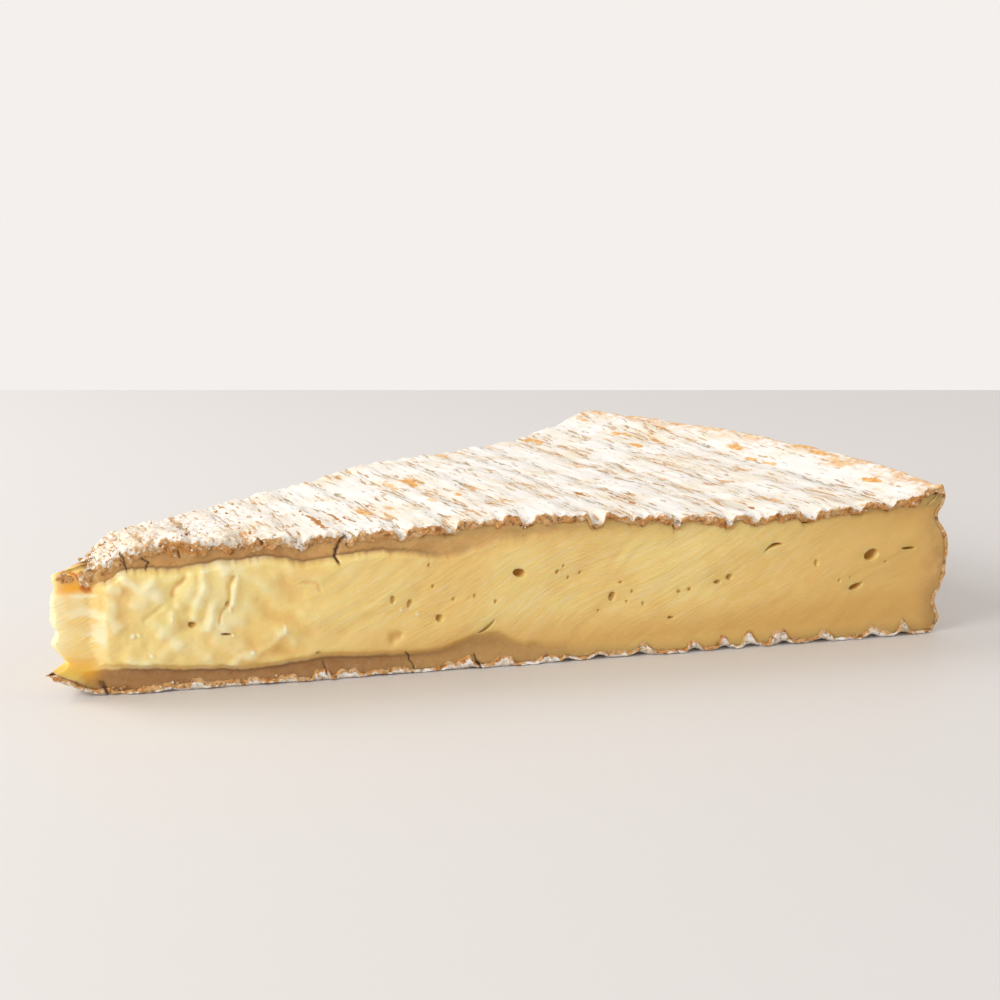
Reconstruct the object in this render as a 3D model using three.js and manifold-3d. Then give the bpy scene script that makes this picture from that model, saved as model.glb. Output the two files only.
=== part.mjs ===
// A wedge of soft cheese with a white rind, cut from a large flat wheel and lying on its lower face.
//
// Millimetres, +Z up. The shape is worked out with the centre of the wheel at the origin and the
// middle of the wedge along +X. The near cut faces -Y and the far cut faces +Y. At the end the mesh
// is moved along X, so that the group's origin is on the table under the middle of the wedge.

import * as THREE from "three";
import { mergeVertices } from "three/addons/utils/BufferGeometryUtils.js";
import Module from "manifold-3d";

const wasm = await Module();
wasm.setup();

// The wheel and the cut
const WHEEL_RADIUS = 184;
const HALF_ANGLE = THREE.MathUtils.degToRad(20.7);
const THICKNESS = 30.2;
const MIDDLE = 90.2; // middle of the wedge's length

// The soft tip has run out past the point where the cuts would meet
const TIP_NEAR = new THREE.Vector2(-3.6, 1.3);
const TIP_FAR = new THREE.Vector2(-2.6, 4.9);
const TIP_REACH = 4;
const TIP_BULGE = 2.2;
const TIP_PINCH = 2.4;
const TIP_FLAP_LIFT = 4.4;
const TIP_SINK = 5.6;

// Swells and dips of the top along the wedge, and the raised lip at the wheel's side
const SWELL = { at: 88, reach: 20, height: 1.6 };
const DIP = { at: 142, reach: 18, depth: 1.1 };
const LIP = { from: 168, height: 2.8 };

// Lines that the straw mat has pressed into the top, by where they meet the near cut
const MAT_LINES = [12, 22, 32, 43, 52, 63, 73.5, 80.5, 90, 104, 111, 121.5, 134.5, 141, 152, 164, 171.5];
const MAT_LINE_SLANT = THREE.MathUtils.degToRad(8.4);
const MAT_LINE_HALF_WIDTH = 3.4;
const MAT_LINE_DEPTH = 0.55;
const MAT_NOTCH_REACH = 6;
// How much deeper a line cuts into the crust's edge: near the tip, near the wheel's side, and on the far cut
const MAT_NOTCH = { tip: 0.5, side: 1.8, far: 0.9 };

// Arches under the lower crust where it stands off the table
const ARCHES = [16, 36, 58, 78, 98, 105, 114, 126.5, 133, 139.5, 147, 155.5, 168, 175.5];
const ARCH_HALF_WIDTH = 2.9;
const ARCH_LIFT = 1.5;
const ARCH_REACH = 12;
const UNDERSIDE_PITCH = 9.8;
const UNDERSIDE_LIFT = 0.7;

// The cut faces: the paste bulges between the crusts most near the tip, and the lower crust sticks out
const PASTE_BULGE = 1.9;
const PASTE_FIRM_AT = 120;
const TOP_CRUST = 4.8;
const LOWER_CRUST = 4.4;
const LOWER_CRUST_FOOT = 1.0;

// The wheel's side, from the table up: at each height, how far it stands out
const SIDE_HEIGHTS = [0, 3, 6.7, 11, 17, 22, 27, 31, 33];
const SIDE_OUTS = [-1.2, 0.5, -0.4, 1.1, 1.8, 1.2, -0.9, 0.9, 0];
const SIDE_UNEVENNESS = 0.3;

// Soft folds in the paste of the near cut: along the cut and height of both ends, width and height
const FOLDS = [
  { from: [5, 20], to: [7, 11], width: 2.4, height: 0.8 },
  { from: [13, 22], to: [10, 16], width: 2.6, height: 0.7 },
  { from: [21, 22], to: [17, 12], width: 2.4, height: 0.8 },
  { from: [28, 23], to: [24, 12], width: 2.6, height: 0.8 },
  { from: [24, 7], to: [42, 14], width: 2.2, height: 0.6 },
  { from: [42, 22], to: [36, 15], width: 3.0, height: 0.5 },
];

// Gas holes opened by the cut: along the cut, height, half length, half height and tilt in degrees
const NEAR_HOLES = [
  { along: 20.8, height: 13.7, long: 0.9, tall: 0.9, tilt: 0 },
  { along: 61.0, height: 8.2, long: 1.6, tall: 1.3, tilt: 10 },
  { along: 60.9, height: 16.0, long: 0.7, tall: 1.1, tilt: 0 },
  { along: 70.7, height: 11.3, long: 0.9, tall: 0.9, tilt: 0 },
  { along: 80.7, height: 8.8, long: 2.4, tall: 0.7, tilt: 35 },
  { along: 87.6, height: 19.8, long: 1.5, tall: 1.0, tilt: -10 },
  { along: 107.9, height: 13.3, long: 0.9, tall: 1.1, tilt: 0 },
  { along: 134.3, height: 15.8, long: 0.9, tall: 0.9, tilt: 0 },
  { along: 144.1, height: 21.9, long: 2.6, tall: 0.6, tilt: 18 },
  { along: 163.8, height: 11.9, long: 1.9, tall: 0.8, tilt: 15 },
  { along: 167.1, height: 18.9, long: 1.8, tall: 1.5, tilt: 20 },
];
const FAR_HOLES = [
  { along: 47, height: 12, long: 1.2, tall: 1.0, tilt: 0 },
  { along: 92, height: 17, long: 1.5, tall: 1.1, tilt: 15 },
  { along: 128, height: 10, long: 1.8, tall: 0.9, tilt: -12 },
  { along: 158, height: 18, long: 1.4, tall: 1.3, tilt: 0 },
];
const HOLE_DEPTH = 1.3;

// Divisions along the wedge, across it and over its height
const STEPS_ALONG = 76;
const STEPS_ACROSS = 18;
const STEPS_UP = 12;

const NEAR = -1;
const FAR = 1;
const CUT_LENGTH = WHEEL_RADIUS + TIP_REACH;
const { clamp, lerp, smoothstep } = THREE.MathUtils;

// A round hill of height 1 around a centre
function hill(x, centre, reach) {
  return Math.exp(-(((x - centre) / reach) ** 2));
}

// A smooth groove of depth 1 that ends at half its width
function groove(distance, halfWidth) {
  const share = clamp(Math.abs(distance) / halfWidth, 0, 1);
  return 0.5 + 0.5 * Math.cos(Math.PI * share);
}

// Slow unevenness between -1 and 1
function unevenness(a, b) {
  return 0.6 * Math.sin(a + 1.7 * Math.sin(0.6 * b)) + 0.4 * Math.sin(1.9 * b - 0.8 * a);
}

// How far in from the nearer cut a place on the top or the underside is
function fromCut(along, across) {
  return (1 - Math.abs(across)) * HALF_ANGLE * Math.max(along, 0);
}

// Height of the top
function topAt(x, y, along, across) {
  const lip = LIP.height * smoothstep(along, LIP.from, WHEEL_RADIUS);
  const sink = TIP_SINK * (1 - smoothstep(along, -4, 14));
  const swell = SWELL.height * hill(along, SWELL.at, SWELL.reach);
  const dip = DIP.depth * hill(along, DIP.at, DIP.reach);
  const over = x * Math.cos(MAT_LINE_SLANT) - y * Math.sin(MAT_LINE_SLANT);
  const perCut = Math.cos(HALF_ANGLE - MAT_LINE_SLANT);
  const wander = 0.9 * unevenness(y * 0.11, along * 0.05);
  const notch = across < 0 ? lerp(MAT_NOTCH.tip, MAT_NOTCH.side, smoothstep(along, 40, 100)) : MAT_NOTCH.far;
  const depth = MAT_LINE_DEPTH + notch * (1 - smoothstep(fromCut(along, across), 0, MAT_NOTCH_REACH));
  const pressed = Math.max(
    ...MAT_LINES.map((line) => groove(over - line * perCut - wander, MAT_LINE_HALF_WIDTH)),
  );
  const fade = smoothstep(along, 4, 40) * (1 - 0.6 * smoothstep(along, 174, WHEEL_RADIUS));
  const uneven = 0.25 * unevenness(x * 0.13, y * 0.17);
  return THICKNESS + swell - dip + lip - sink - depth * pressed * fade + uneven;
}

// Height of the underside: flat lands on the table, shallow lines between, arches at the cuts
function undersideAt(x, along, across) {
  const line = UNDERSIDE_LIFT * Math.max(0, 2 * Math.cos((2 * Math.PI * x) / UNDERSIDE_PITCH) - 1);
  const side = across < 0 ? NEAR : FAR;
  const shift = side === NEAR ? 0 : 4.5;
  const arch = Math.max(...ARCHES.map((at) => groove(along - at - shift, ARCH_HALF_WIDTH)));
  const atCut = 1 - smoothstep(fromCut(along, across), 0, ARCH_REACH);
  const settled = lerp(0.35, 1, smoothstep(along, 70, 110));
  const flap = TIP_FLAP_LIFT * (1 - smoothstep(along, -TIP_REACH - TIP_BULGE, 4.5));
  return flap + Math.max(line * smoothstep(along, 10, 30) * (1 - atCut), ARCH_LIFT * settled * arch * atCut);
}

// Height that one soft fold adds at a place of the cut
function foldAt(fold, along, height) {
  const [a0, h0] = fold.from;
  const [a1, h1] = fold.to;
  const length2 = (a1 - a0) ** 2 + (h1 - h0) ** 2;
  const share = clamp(((along - a0) * (a1 - a0) + (height - h0) * (h1 - h0)) / length2, 0, 1);
  const away = Math.hypot(along - lerp(a0, a1, share), height - lerp(h0, h1, share));
  return fold.height * hill(away, 0, fold.width);
}

// How far a cut face stands out of its flat plane
function cutRelief(side, along, height) {
  const softness = 1 - smoothstep(along, 30, PASTE_FIRM_AT);
  const crust = lerp(1.8, TOP_CRUST, 1 - smoothstep(along, 80, 105));
  const underCrust = THICKNESS - crust;
  const inPaste =
    (1 - smoothstep(height, underCrust - 1.6, underCrust + 0.4)) * smoothstep(height, 1, LOWER_CRUST + 5);
  const bulge = PASTE_BULGE * lerp(0.12, 1, softness) * smoothstep(along, 1.5, 5) * inPaste;
  const foot = LOWER_CRUST_FOOT * (1 - smoothstep(height, 0.6, LOWER_CRUST)) * smoothstep(along, 4, 12);
  const overhang = 0.6 * smoothstep(height, THICKNESS - 2, THICKNESS);
  const place = side === NEAR ? along : 1.06 * along + 9;
  const folds = FOLDS.reduce((sum, fold) => sum + foldAt(fold, place, height), 0);
  const uneven = 0.3 * unevenness(0.16 * place, 0.3 * height) * smoothstep(along, 6, 20);
  const corner = 1 - smoothstep(along, WHEEL_RADIUS - 12, WHEEL_RADIUS);
  return (bulge + foot + overhang + folds * softness + uneven) * corner;
}

// How far the wheel's side stands out of its circle
const sideProfile = new THREE.CubicInterpolant(SIDE_HEIGHTS, SIDE_OUTS, 1);
function sideRelief(angle, height) {
  const [out] = sideProfile.evaluate(clamp(height, 0, SIDE_HEIGHTS.at(-1)));
  return out + SIDE_UNEVENNESS * unevenness(angle * 22, height * 0.2);
}

// A place on the wheel's side
function onCircle(angle) {
  return new THREE.Vector2(Math.cos(angle), Math.sin(angle)).multiplyScalar(WHEEL_RADIUS);
}

// Where a place of the cut lies, with its relief
function cutPoint(side, along, height) {
  const share = (along + TIP_REACH) / CUT_LENGTH;
  const start = side === NEAR ? TIP_NEAR : TIP_FAR;
  const end = onCircle(side * HALF_ANGLE);
  const normal = cutNormal(side);
  const flat = start.clone().lerp(end, share).addScaledVector(normal, cutRelief(side, along, height));
  return new THREE.Vector3(flat.x, flat.y, height);
}

// The way a cut face looks
function cutNormal(side) {
  return new THREE.Vector2(-Math.sin(HALF_ANGLE), side * Math.cos(HALF_ANGLE));
}

// How far the tip reaches past its starting line at a height: a bulge with a pinch above the lower crust
function tipBulge(height, across) {
  const round = 1 - 0.45 * across ** 2;
  const belly = TIP_BULGE * smoothstep(height, 6, 10) * (1 - 0.5 * smoothstep(height, 22, 27));
  return belly * round - TIP_PINCH * hill(height, 7.4, 1.6) + TIP_BULGE * hill(height, 4.6, 1.3);
}

// Takes a point of the unit box to its place on the wedge
function wedgePoint(box) {
  const share = box.x + 0.5;
  const across = 2 * box.y;
  const up = 0.5 - 0.5 * Math.cos(Math.PI * (box.z + 0.5));
  const along = share * CUT_LENGTH - TIP_REACH;
  const angle = HALF_ANGLE * across;
  const rim = onCircle(angle);
  const flat = TIP_NEAR.clone().lerp(TIP_FAR, box.y + 0.5).lerp(rim, share);
  const height = lerp(undersideAt(flat.x, along, across), topAt(flat.x, flat.y, along, across), up);

  const side = across < 0 ? NEAR : FAR;
  const cutShare = smoothstep(Math.abs(across), 0.35, 1);
  const atSide = smoothstep(along, WHEEL_RADIUS - 13, WHEEL_RADIUS);
  const atTip = 1 - smoothstep(along, -TIP_REACH, 8);
  flat.addScaledVector(cutNormal(side), cutShare * cutRelief(side, along, height));
  flat.addScaledVector(rim, (atSide * sideRelief(angle, height)) / WHEEL_RADIUS);
  flat.x -= atTip * tipBulge(height, across);
  return new THREE.Vector3(flat.x, flat.y, height);
}

// A closed geometry as a solid, with only its places kept
function solidOf(geometry) {
  geometry.deleteAttribute("normal");
  geometry.deleteAttribute("uv");
  const merged = mergeVertices(geometry, 1e-4);
  const vertProperties = new Float32Array(merged.attributes.position.array);
  const triVerts = new Uint32Array(merged.index.array);
  return new wasm.Manifold(new wasm.Mesh({ numProp: 3, vertProperties, triVerts }));
}

// The solid wedge before its holes are opened
function wedgeSolid() {
  const geometry = new THREE.BoxGeometry(1, 1, 1, STEPS_ALONG, STEPS_ACROSS, STEPS_UP);
  const places = geometry.attributes.position;
  for (let i = 0; i < places.count; i += 1) {
    const place = wedgePoint(new THREE.Vector3().fromBufferAttribute(places, i));
    places.setXYZ(i, place.x, place.y, place.z);
  }
  return solidOf(geometry);
}

// The oval that opens one gas hole in a cut face
function holeSolid(side, hole) {
  const oval = new THREE.IcosahedronGeometry(1, 1);
  oval.scale(hole.long, HOLE_DEPTH, hole.tall);
  oval.rotateY(-THREE.MathUtils.degToRad(hole.tilt));
  oval.rotateZ(side * HALF_ANGLE);
  const centre = cutPoint(side, hole.along, hole.height);
  oval.translate(centre.x, centre.y, centre.z);
  return solidOf(oval);
}

function brieWedge() {
  let solid = wedgeSolid();
  for (const [side, holes] of [[NEAR, NEAR_HOLES], [FAR, FAR_HOLES]]) {
    for (const hole of holes) {
      solid = solid.subtract(holeSolid(side, hole));
    }
  }
  const { vertProperties, triVerts } = solid.getMesh();
  const geometry = new THREE.BufferGeometry();
  geometry.setAttribute("position", new THREE.BufferAttribute(vertProperties, 3));
  geometry.setIndex(new THREE.BufferAttribute(triVerts, 1));
  geometry.computeVertexNormals();
  const material = new THREE.MeshStandardMaterial({ color: 0xe6cf8e, roughness: 0.5, metalness: 0 });
  const mesh = new THREE.Mesh(geometry, material);
  mesh.name = "brie_wedge";
  return mesh;
}

const wedge = brieWedge();
wedge.position.x = -MIDDLE;

const group = new THREE.Group();
group.add(wedge);

export default group;
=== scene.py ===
import itertools
import math

import bpy
import numpy as np
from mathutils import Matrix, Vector


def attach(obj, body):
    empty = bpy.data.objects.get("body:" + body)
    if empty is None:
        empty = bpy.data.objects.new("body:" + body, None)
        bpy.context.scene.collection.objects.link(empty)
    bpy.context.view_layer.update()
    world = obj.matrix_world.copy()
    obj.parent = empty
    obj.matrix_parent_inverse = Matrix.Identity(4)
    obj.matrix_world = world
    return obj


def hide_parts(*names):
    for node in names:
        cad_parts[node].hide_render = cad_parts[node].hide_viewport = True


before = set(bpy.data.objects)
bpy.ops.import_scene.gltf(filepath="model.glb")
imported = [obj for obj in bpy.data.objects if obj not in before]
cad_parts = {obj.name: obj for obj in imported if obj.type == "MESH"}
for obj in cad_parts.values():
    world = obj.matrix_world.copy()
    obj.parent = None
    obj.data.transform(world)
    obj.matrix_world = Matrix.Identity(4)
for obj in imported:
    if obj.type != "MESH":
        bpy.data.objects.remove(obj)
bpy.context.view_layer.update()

# A wedge cut from a large flat wheel of soft white-rind cheese. All sizes are in millimetres, in a frame
# with its origin at the wheel's centre on the table, +X along the middle of the wedge and the near cut on
# the -Y side. Each mesh is turned to metres in the frame of the CAD part at the end.
MM = 0.001
MIDDLE = 90.2

# The wheel and the two cuts
WHEEL_RADIUS = 184.0
HALF_ANGLE = math.radians(20.7)
THICKNESS = 30.2
NEAR, FAR = -1, 1

# The torn tip
TIP_NEAR = (-3.6, 1.3)
TIP_FAR = (-2.6, 4.9)
TIP_REACH = 4.0
TIP_FLAP_LIFT = 4.4
TIP_SINK = 5.6
TIP_LEDGE = 20.8
# The dark orange streak above the ledge: (along, height)
EMBER_LINE = ((-0.4, 25), (0.7, 23), (1.4, 20.8))
FLAP_REACH = 2.0
# How far the torn paste stands out of the tip at each height
TIP_PROFILE = (
    (3.4, 3.2), (4.7, 2.9), (5.3, 1.3), (6.0, -0.6), (6.8, -1.2), (7.8, 0.1), (9, 1.3), (11, 2.3),
    (12.6, 1.4), (15, 2.0), (18, 2.1), (20.6, 1.7), (21.2, 1.3), (24, 1.4), (27, 1.2),
)
CUT_LENGTH = WHEEL_RADIUS + TIP_REACH

# The swells of the top and its raised lip at the rim
SWELL = {"at": 88, "reach": 20, "height": 1.6}
DIP = {"at": 142, "reach": 18, "height": -1.1}
LIP_FROM = 168
LIP_HEIGHT = 2.8

# The lines that a straw mat pressed into the top
MAT_LINES = (12, 22, 32, 43, 52, 63, 73.5, 80.5, 90, 104, 111, 121.5, 134.5, 141, 152, 164, 171.5)
MAT_LINE_SLANT = math.radians(8.4)
MAT_LINE_HALF_WIDTH = 3.4
MAT_LINE_DEPTH = 0.26
MAT_NOTCH_REACH = 5
MAT_NOTCH = {"tip": 0.7, "side": 1.3, "far": 0.15}

# The arches that the lower mat left along the foot of each cut
ARCHES = (16, 36, 58, 78, 98, 105, 114, 126.5, 133, 139.5, 147, 155.5, 168, 175.5)
ARCH_HALF_WIDTH = 2.9
ARCH_LIFT = 0.8
ARCH_REACH = 12
FAR_ARCH_SHIFT = 4.5
UNDERSIDE_PITCH = 9.8
UNDERSIDE_LIFT = 0.7

# The waved side of the wheel: how far it stands out at each height
SIDE_WAVES = (
    (0, -1.2), (3, 0.5), (6.7, -0.4), (11, 1.1), (17, 1.8), (22, 1.2), (27, -0.9), (31, 0.9), (33, 0),
)
# From here to the rim, the top and the cuts follow the waves of the side
RIM_FROM = 171
SIDE_UNEVENNESS = 0.3
SIDE_FOOT = 0.35

# The way that the knife went over the cuts, as its run and rise: in the relief and in the fine streaks
RELIEF_DRAG = (0.82, 0.57)
STREAK_DRAG = (0.88, 0.47)

# The soft paste swells out of the cuts, most of all near the tip
PASTE_BULGE = 1.9
FOOT_BULGE = 1.0
FIRM_FROM, FIRM_AT = 30, 120

# Where the brown crust of the near cut meets the paste: (along the cut, height)
UPPER_CRUST_LINE = (
    (-4, 22.6), (4, 22.6), (8, 24.8), (15, 24.9), (20, 25.1), (29, 25.9), (36, 26.1), (43, 24.9),
    (51, 25.4), (63, 26.0), (73.5, 24.4), (81.5, 26.6), (90, 27.8), (97, 28.4), (110, 28.4), (190, 28.4),
)
LOWER_CRUST_LINE = (
    (-4, 5.6), (8, 5.2), (22, 4.0), (35, 3.5), (43, 4.4), (47, 4.8), (54, 4.2), (63, 4.0), (71, 4.1),
    (79, 6.4), (83, 6.3), (87, 4.2), (92, 3.3), (100, 2.4), (190, 2.4),
)
CRUST_FADES = (90, 106)

# Folds and creases of the soft paste on the near cut: height, half width, and points (along, height)
FOLDS = (
    (0.65, 2, (4.4, 23.9), (5.0, 21.9), (6.8, 21.4)),
    (0.72, 2, (8.0, 24.4), (9.4, 22.8), (11.2, 21.9), (13.8, 23.3)),
    (0.65, 2, (14.9, 23.6), (12.6, 20.7), (11.0, 18.4)),
    (0.58, 1.9, (17.9, 24.2), (15.6, 21.6), (14.4, 19.4)),
    (0.65, 1.9, (21.1, 23.2), (19.9, 20.2), (18.7, 17.9)),
    (0.72, 1.8, (23.8, 23.8), (22.9, 21.2), (21.3, 17.7), (20.8, 15.6)),
    (0.58, 1.8, (26.4, 25.4), (27.1, 24.0)),
    (0.65, 1.8, (24.6, 17.5), (23.7, 12.9)),
    (0.5, 1.5, (17.1, 15.7), (17.1, 14.1)),
    (0.43, 1.6, (15.5, 13.0), (15.1, 11.9)),
    (0.86, 2.3, (4.9, 18.9), (4.9, 16.2), (5.9, 14.9)),
    (0.49, 0.9, (29.3, 22.3), (29.6, 21.1), (28.9, 17.2)),
    (0.43, 1.6, (39.2, 11.4), (36.1, 8.8), (32.2, 6.7), (28.3, 5.0)),
    (0.36, 2, (18.0, 9.7), (14.9, 7.6), (11.9, 6.2)),
    (0.43, 2.4, (48.5, 23.6), (45.9, 22.2), (44.4, 22.8)),
    (-0.64, 0.7, (28.5, 22.7), (28.3, 20.0), (27.5, 17.2), (26.4, 13.5)),
    (-0.4, 0.9, (19.1, 23.0), (17.7, 19.5)),
    (-0.4, 0.7, (14.7, 17.8), (12.8, 16.4), (11.6, 15.7)),
    (-0.56, 0.7, (3.9, 21), (3.7, 18.2), (3.7, 13.5)),
    (-0.32, 0.6, (43.0, 21.4), (45.6, 20.9), (45.9, 18.9)),
    (-0.85, 1.5, (60.2, 7.6), (61.7, 8.7)),
)

# Wet beads that shine on the soft paste: half width, and the points (along, height) of each
WET_BEADS = (
    (0.42, (9.2, 12.0), (9.5, 12.2)), (0.4, (10.4, 12.3), (10.6, 12.2)), (0.32, (12.7, 7.9), (12.9, 7.9)),
    (0.34, (28.6, 17.5), (28.5, 17.2)), (0.3, (28.3, 16.2), (28.3, 16.0)),
    (0.3, (39.0, 11.3), (39.1, 12.0)), (0.24, (28.6, 11.0), (28.8, 11.0)),
    (0.3, (32.3, 7.2), (32.8, 7.4)), (0.26, (17.0, 15.4), (17.0, 15.0)),
    (0.24, (62.6, 13.7), (62.8, 13.6)), (0.24, (66.0, 12.8), (66.1, 12.6)),
)
BEAD_HEIGHT = 0.4

# Cracks of the crust on the near cut: half width, and the points (along, height) of each
CRACKS = (
    (0.41, (51.6, 30.4), (50.1, 27.3), (49.3, 25.5), (50.1, 24.4)),
    (0.2, (7.5, 28.5), (8.5, 27.3), (8.7, 25.2)),
    (0.2, (11.8, 27.3), (13.0, 26.4), (12.6, 25.8), (12.5, 25.0)),
    (0.15, (18.2, 29.3), (18.7, 28.0), (18.8, 27.1)),
    (0.15, (34.0, 30.3), (35.2, 28.9)),
    (0.18, (63.8, 4.5), (64.5, 2.8), (65.3, 1.0)),
    (0.26, (78.0, 2.8), (78.4, 1.5), (79.1, 0.2)),
    (0.16, (46.4, 3.5), (47.3, 1.2)),
    (0.42, (3.3, 2.9), (4.0, 1.3), (4.3, 0.2)),
)
CRACK_DEPTH = 0.5

# White lobes of the lower rind along the near cut: along, half width, height
LOBES = (
    (15.5, 2.2, 0.9), (21.8, 2.6, 1.5), (28.2, 2.0, 1.0), (32.8, 2.4, 1.2), (39.3, 2.6, 1.2),
    (45.9, 2.0, 1.8), (51.7, 3.0, 1.3), (61.9, 3.2, 0.9), (72.4, 2.0, 1.3), (75.6, 2.2, 1.9),
    (84.2, 2.8, 1.6), (93.7, 3.0, 1.3), (108.8, 3.2, 1.0), (115.6, 2.4, 1.6), (126.3, 2.4, 1.2),
    (133.2, 1.8, 1.5), (138.8, 2.4, 2.3), (145.9, 2.4, 2.3), (156.6, 2.4, 1.5), (169.7, 4.5, 1.2),
    (175.5, 1.6, 2.8),
)

# Gas holes of the near cut: along, height, half length, half height, and for some a tilt in degrees
# and a bow
NEAR_HOLES = (
    (20.8, 13.7, 0.8, 0.8), (27.6, 17.6, 0.6, 0.6), (27.4, 11.4, 1.1, 0.28, -5), (45.6, 6.1, 0.6, 0.3),
    (60.9, 16.0, 0.6, 1.05, 8), (64.4, 14.9, 0.65, 1.05, -8), (68.5, 22.7, 0.4, 0.4),
    (69.3, 18.2, 0.4, 0.45), (70.7, 11.3, 0.85, 0.85), (73.6, 15.2, 0.42, 0.42), (78.1, 15.5, 0.42, 0.42),
    (80.7, 8.8, 2.4, 0.45, 35, 0.5), (82.5, 14.1, 0.45, 0.45), (87.6, 19.8, 1.5, 0.95, -14),
    (95.8, 19.5, 0.55, 0.5), (98.2, 18.1, 0.42, 0.45), (97.1, 20.7, 0.35, 0.35),
    (100.8, 19.0, 0.45, 0.45), (107.9, 13.3, 0.9, 1.1, -15), (109.8, 16.3, 0.45, 0.3),
    (111.2, 12.0, 0.35, 0.35), (112.3, 14.1, 0.35, 0.35), (114.8, 11.2, 0.35, 0.55),
    (105.0, 10.4, 0.35, 0.35, 30), (121.1, 7.8, 0.8, 0.35, -5), (122.8, 13.4, 0.55, 0.4),
    (125.2, 13.7, 0.55, 0.4), (131.6, 14.9, 0.9, 0.5), (134.3, 15.8, 0.85, 0.75),
    (144.1, 21.9, 2.5, 0.45, 20, -0.7), (154.3, 17.6, 0.6, 0.8), (159.7, 13.5, 0.45, 0.45),
    (162.3, 14.0, 0.3, 0.3), (163.8, 11.9, 1.9, 0.75, 15), (167.1, 18.9, 1.8, 1.35, 22),
    (170.7, 17.1, 0.5, 0.25), (176.0, 19.8, 1.95, 0.35, -2),
)
# The far cut isn't seen in the photo: its holes are like those of the near one
FAR_HOLES = (
    (38, 15, 0.7, 0.6), (47, 12, 1.2, 1.0), (66, 18.5, 0.5, 0.6), (74, 9, 1.9, 0.4, 30, 0.4),
    (92, 17, 1.5, 1.1, 15), (99, 13, 0.5, 0.45), (113, 20, 0.45, 0.45), (128, 10, 1.8, 0.9, -12),
    (139, 17, 0.7, 0.8), (158, 18, 1.4, 1.3), (170, 12, 1.6, 0.35, 8),
)
HOLE_DEPTH = 1.3

# Where the meshes close inside the wedge
INSIDE = 120
# The line in plan between the near and the far part of the paste: its rise and its start
BETWEEN_CUTS = (0.016, 2.6)

# Where the rinds start at the tip
RIND_START = 1.9
LOWER_START = -7.0
# How thick the edge of the top rind is on the soft tip, further on, on the firm part and on the side
RIND_EDGE = {"tip": 2.7, "soft": 2.15, "firm": 1.85, "side": 0.95}

# Steps of the meshes, whose columns lie closer together at the tip than at the rim
NEAR_STEPS, RIM_STEPS, FAR_STEPS, TIP_STEPS = 620, 16, 250, 10
WALL_ROWS = 70
LOWER_CRUST_ROWS, UPPER_CRUST_ROWS = 10, 13
TOP_COLUMNS, SIDE_COLUMNS, SHEET_ROWS = 600, 60, 112
LOWER_COLUMNS, LOWER_SHEET_ROWS = 560, 40
# The rings of a rind's edge, and how far the hidden last two are drawn down and in
EDGE_RINGS, SHOWN_RINGS = 9, 7
HIDDEN_DEPTH, HIDDEN_STEP = 0.3, 1.7
HIDDEN_IN, HIDDEN_IN_STEP = 1.3, 0.3
LIP_REACH = 2.5
AT_EDGE = 1e-4
CROWDING = 0.4

rng = np.random.default_rng(20)


# Number helpers

def smooth(low, high, value):
    """0 below low and 1 above high, with a soft step between."""
    share = np.clip((value - low) / (high - low), 0, 1)
    return share * share * (3 - 2 * share)


def fall(low, high, value):
    """1 below low and 0 above high."""
    return 1 - smooth(low, high, value)


def hill(value, centre, reach):
    """A soft bump of height 1."""
    return np.exp(-(((value - centre) / reach) ** 2))


def groove(distance, half_width):
    """1 on a line and 0 from half a width away."""
    return 0.5 + 0.5 * np.cos(math.pi * np.clip(np.abs(distance) / half_width, 0, 1))


def mix(a, b, share):
    return a + (b - a) * share


def crowded(share):
    """Spreads even steps from 0 to 1 so that they lie closer together near 0."""
    return share * (1 - CROWDING) + CROWDING * share * share


def uneven(a, b):
    """A slow irregular wave."""
    return 0.6 * np.sin(a + 1.7 * np.sin(0.6 * b)) + 0.4 * np.sin(1.9 * b - 0.8 * a)


def curve_through(points, value):
    """The height at value of a smooth curve through (place, height) points."""
    places, heights = np.array(points, float).T
    slopes = np.gradient(heights, places)
    i = np.clip(np.searchsorted(places, value) - 1, 0, len(places) - 2)
    step = places[i + 1] - places[i]
    s = np.clip((value - places[i]) / step, 0, 1)
    start = (1 + 2 * s) * (1 - s) ** 2 * heights[i] + s * (1 - s) ** 2 * step * slopes[i]
    return start + s * s * (3 - 2 * s) * heights[i + 1] + s * s * (s - 1) * step * slopes[i + 1]


def noise(seed, *place):
    """Smooth random values from -1 to 1, with one bump for each unit of the places."""
    table = np.random.default_rng(seed).uniform(-1, 1, 4096)
    place = np.broadcast_arrays(*place)
    cells = [np.floor(p).astype(np.int64) for p in place]
    parts = [smooth(0, 1, p - c) for p, c in zip(place, cells)]
    total = 0
    for corner in itertools.product((0, 1), repeat=len(place)):
        key = sum((c + step) * prime for c, step, prime in zip(cells, corner, (7919, 104729, 1299709)))
        weight = 1
        for part, step in zip(parts, corner):
            weight = weight * (part if step else 1 - part)
        total = total + table[(key ^ (key >> 7)) & 4095] * weight
    return total


def rough(seed, *place):
    """Noise with finer noise on it."""
    finer = [p * 2.1 for p in place]
    finest = [p * 4.3 for p in place]
    return noise(seed, *place) + 0.5 * noise(seed + 1, *finer) + 0.25 * noise(seed + 2, *finest)


# The wedge's shape, as the CAD part has it

def plan(share, across):
    """The place on the table a share of the way from the tip to the rim, for across from -1 to 1."""
    side = (across + 1) / 2
    tip_x, tip_y = (mix(TIP_NEAR[i], TIP_FAR[i], side) for i in (0, 1))
    angle = HALF_ANGLE * across
    x = mix(tip_x, WHEEL_RADIUS * np.cos(angle), share)
    y = mix(tip_y, WHEEL_RADIUS * np.sin(angle), share)
    return x, y


def share_at(along):
    return (along + TIP_REACH) / CUT_LENGTH


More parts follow.
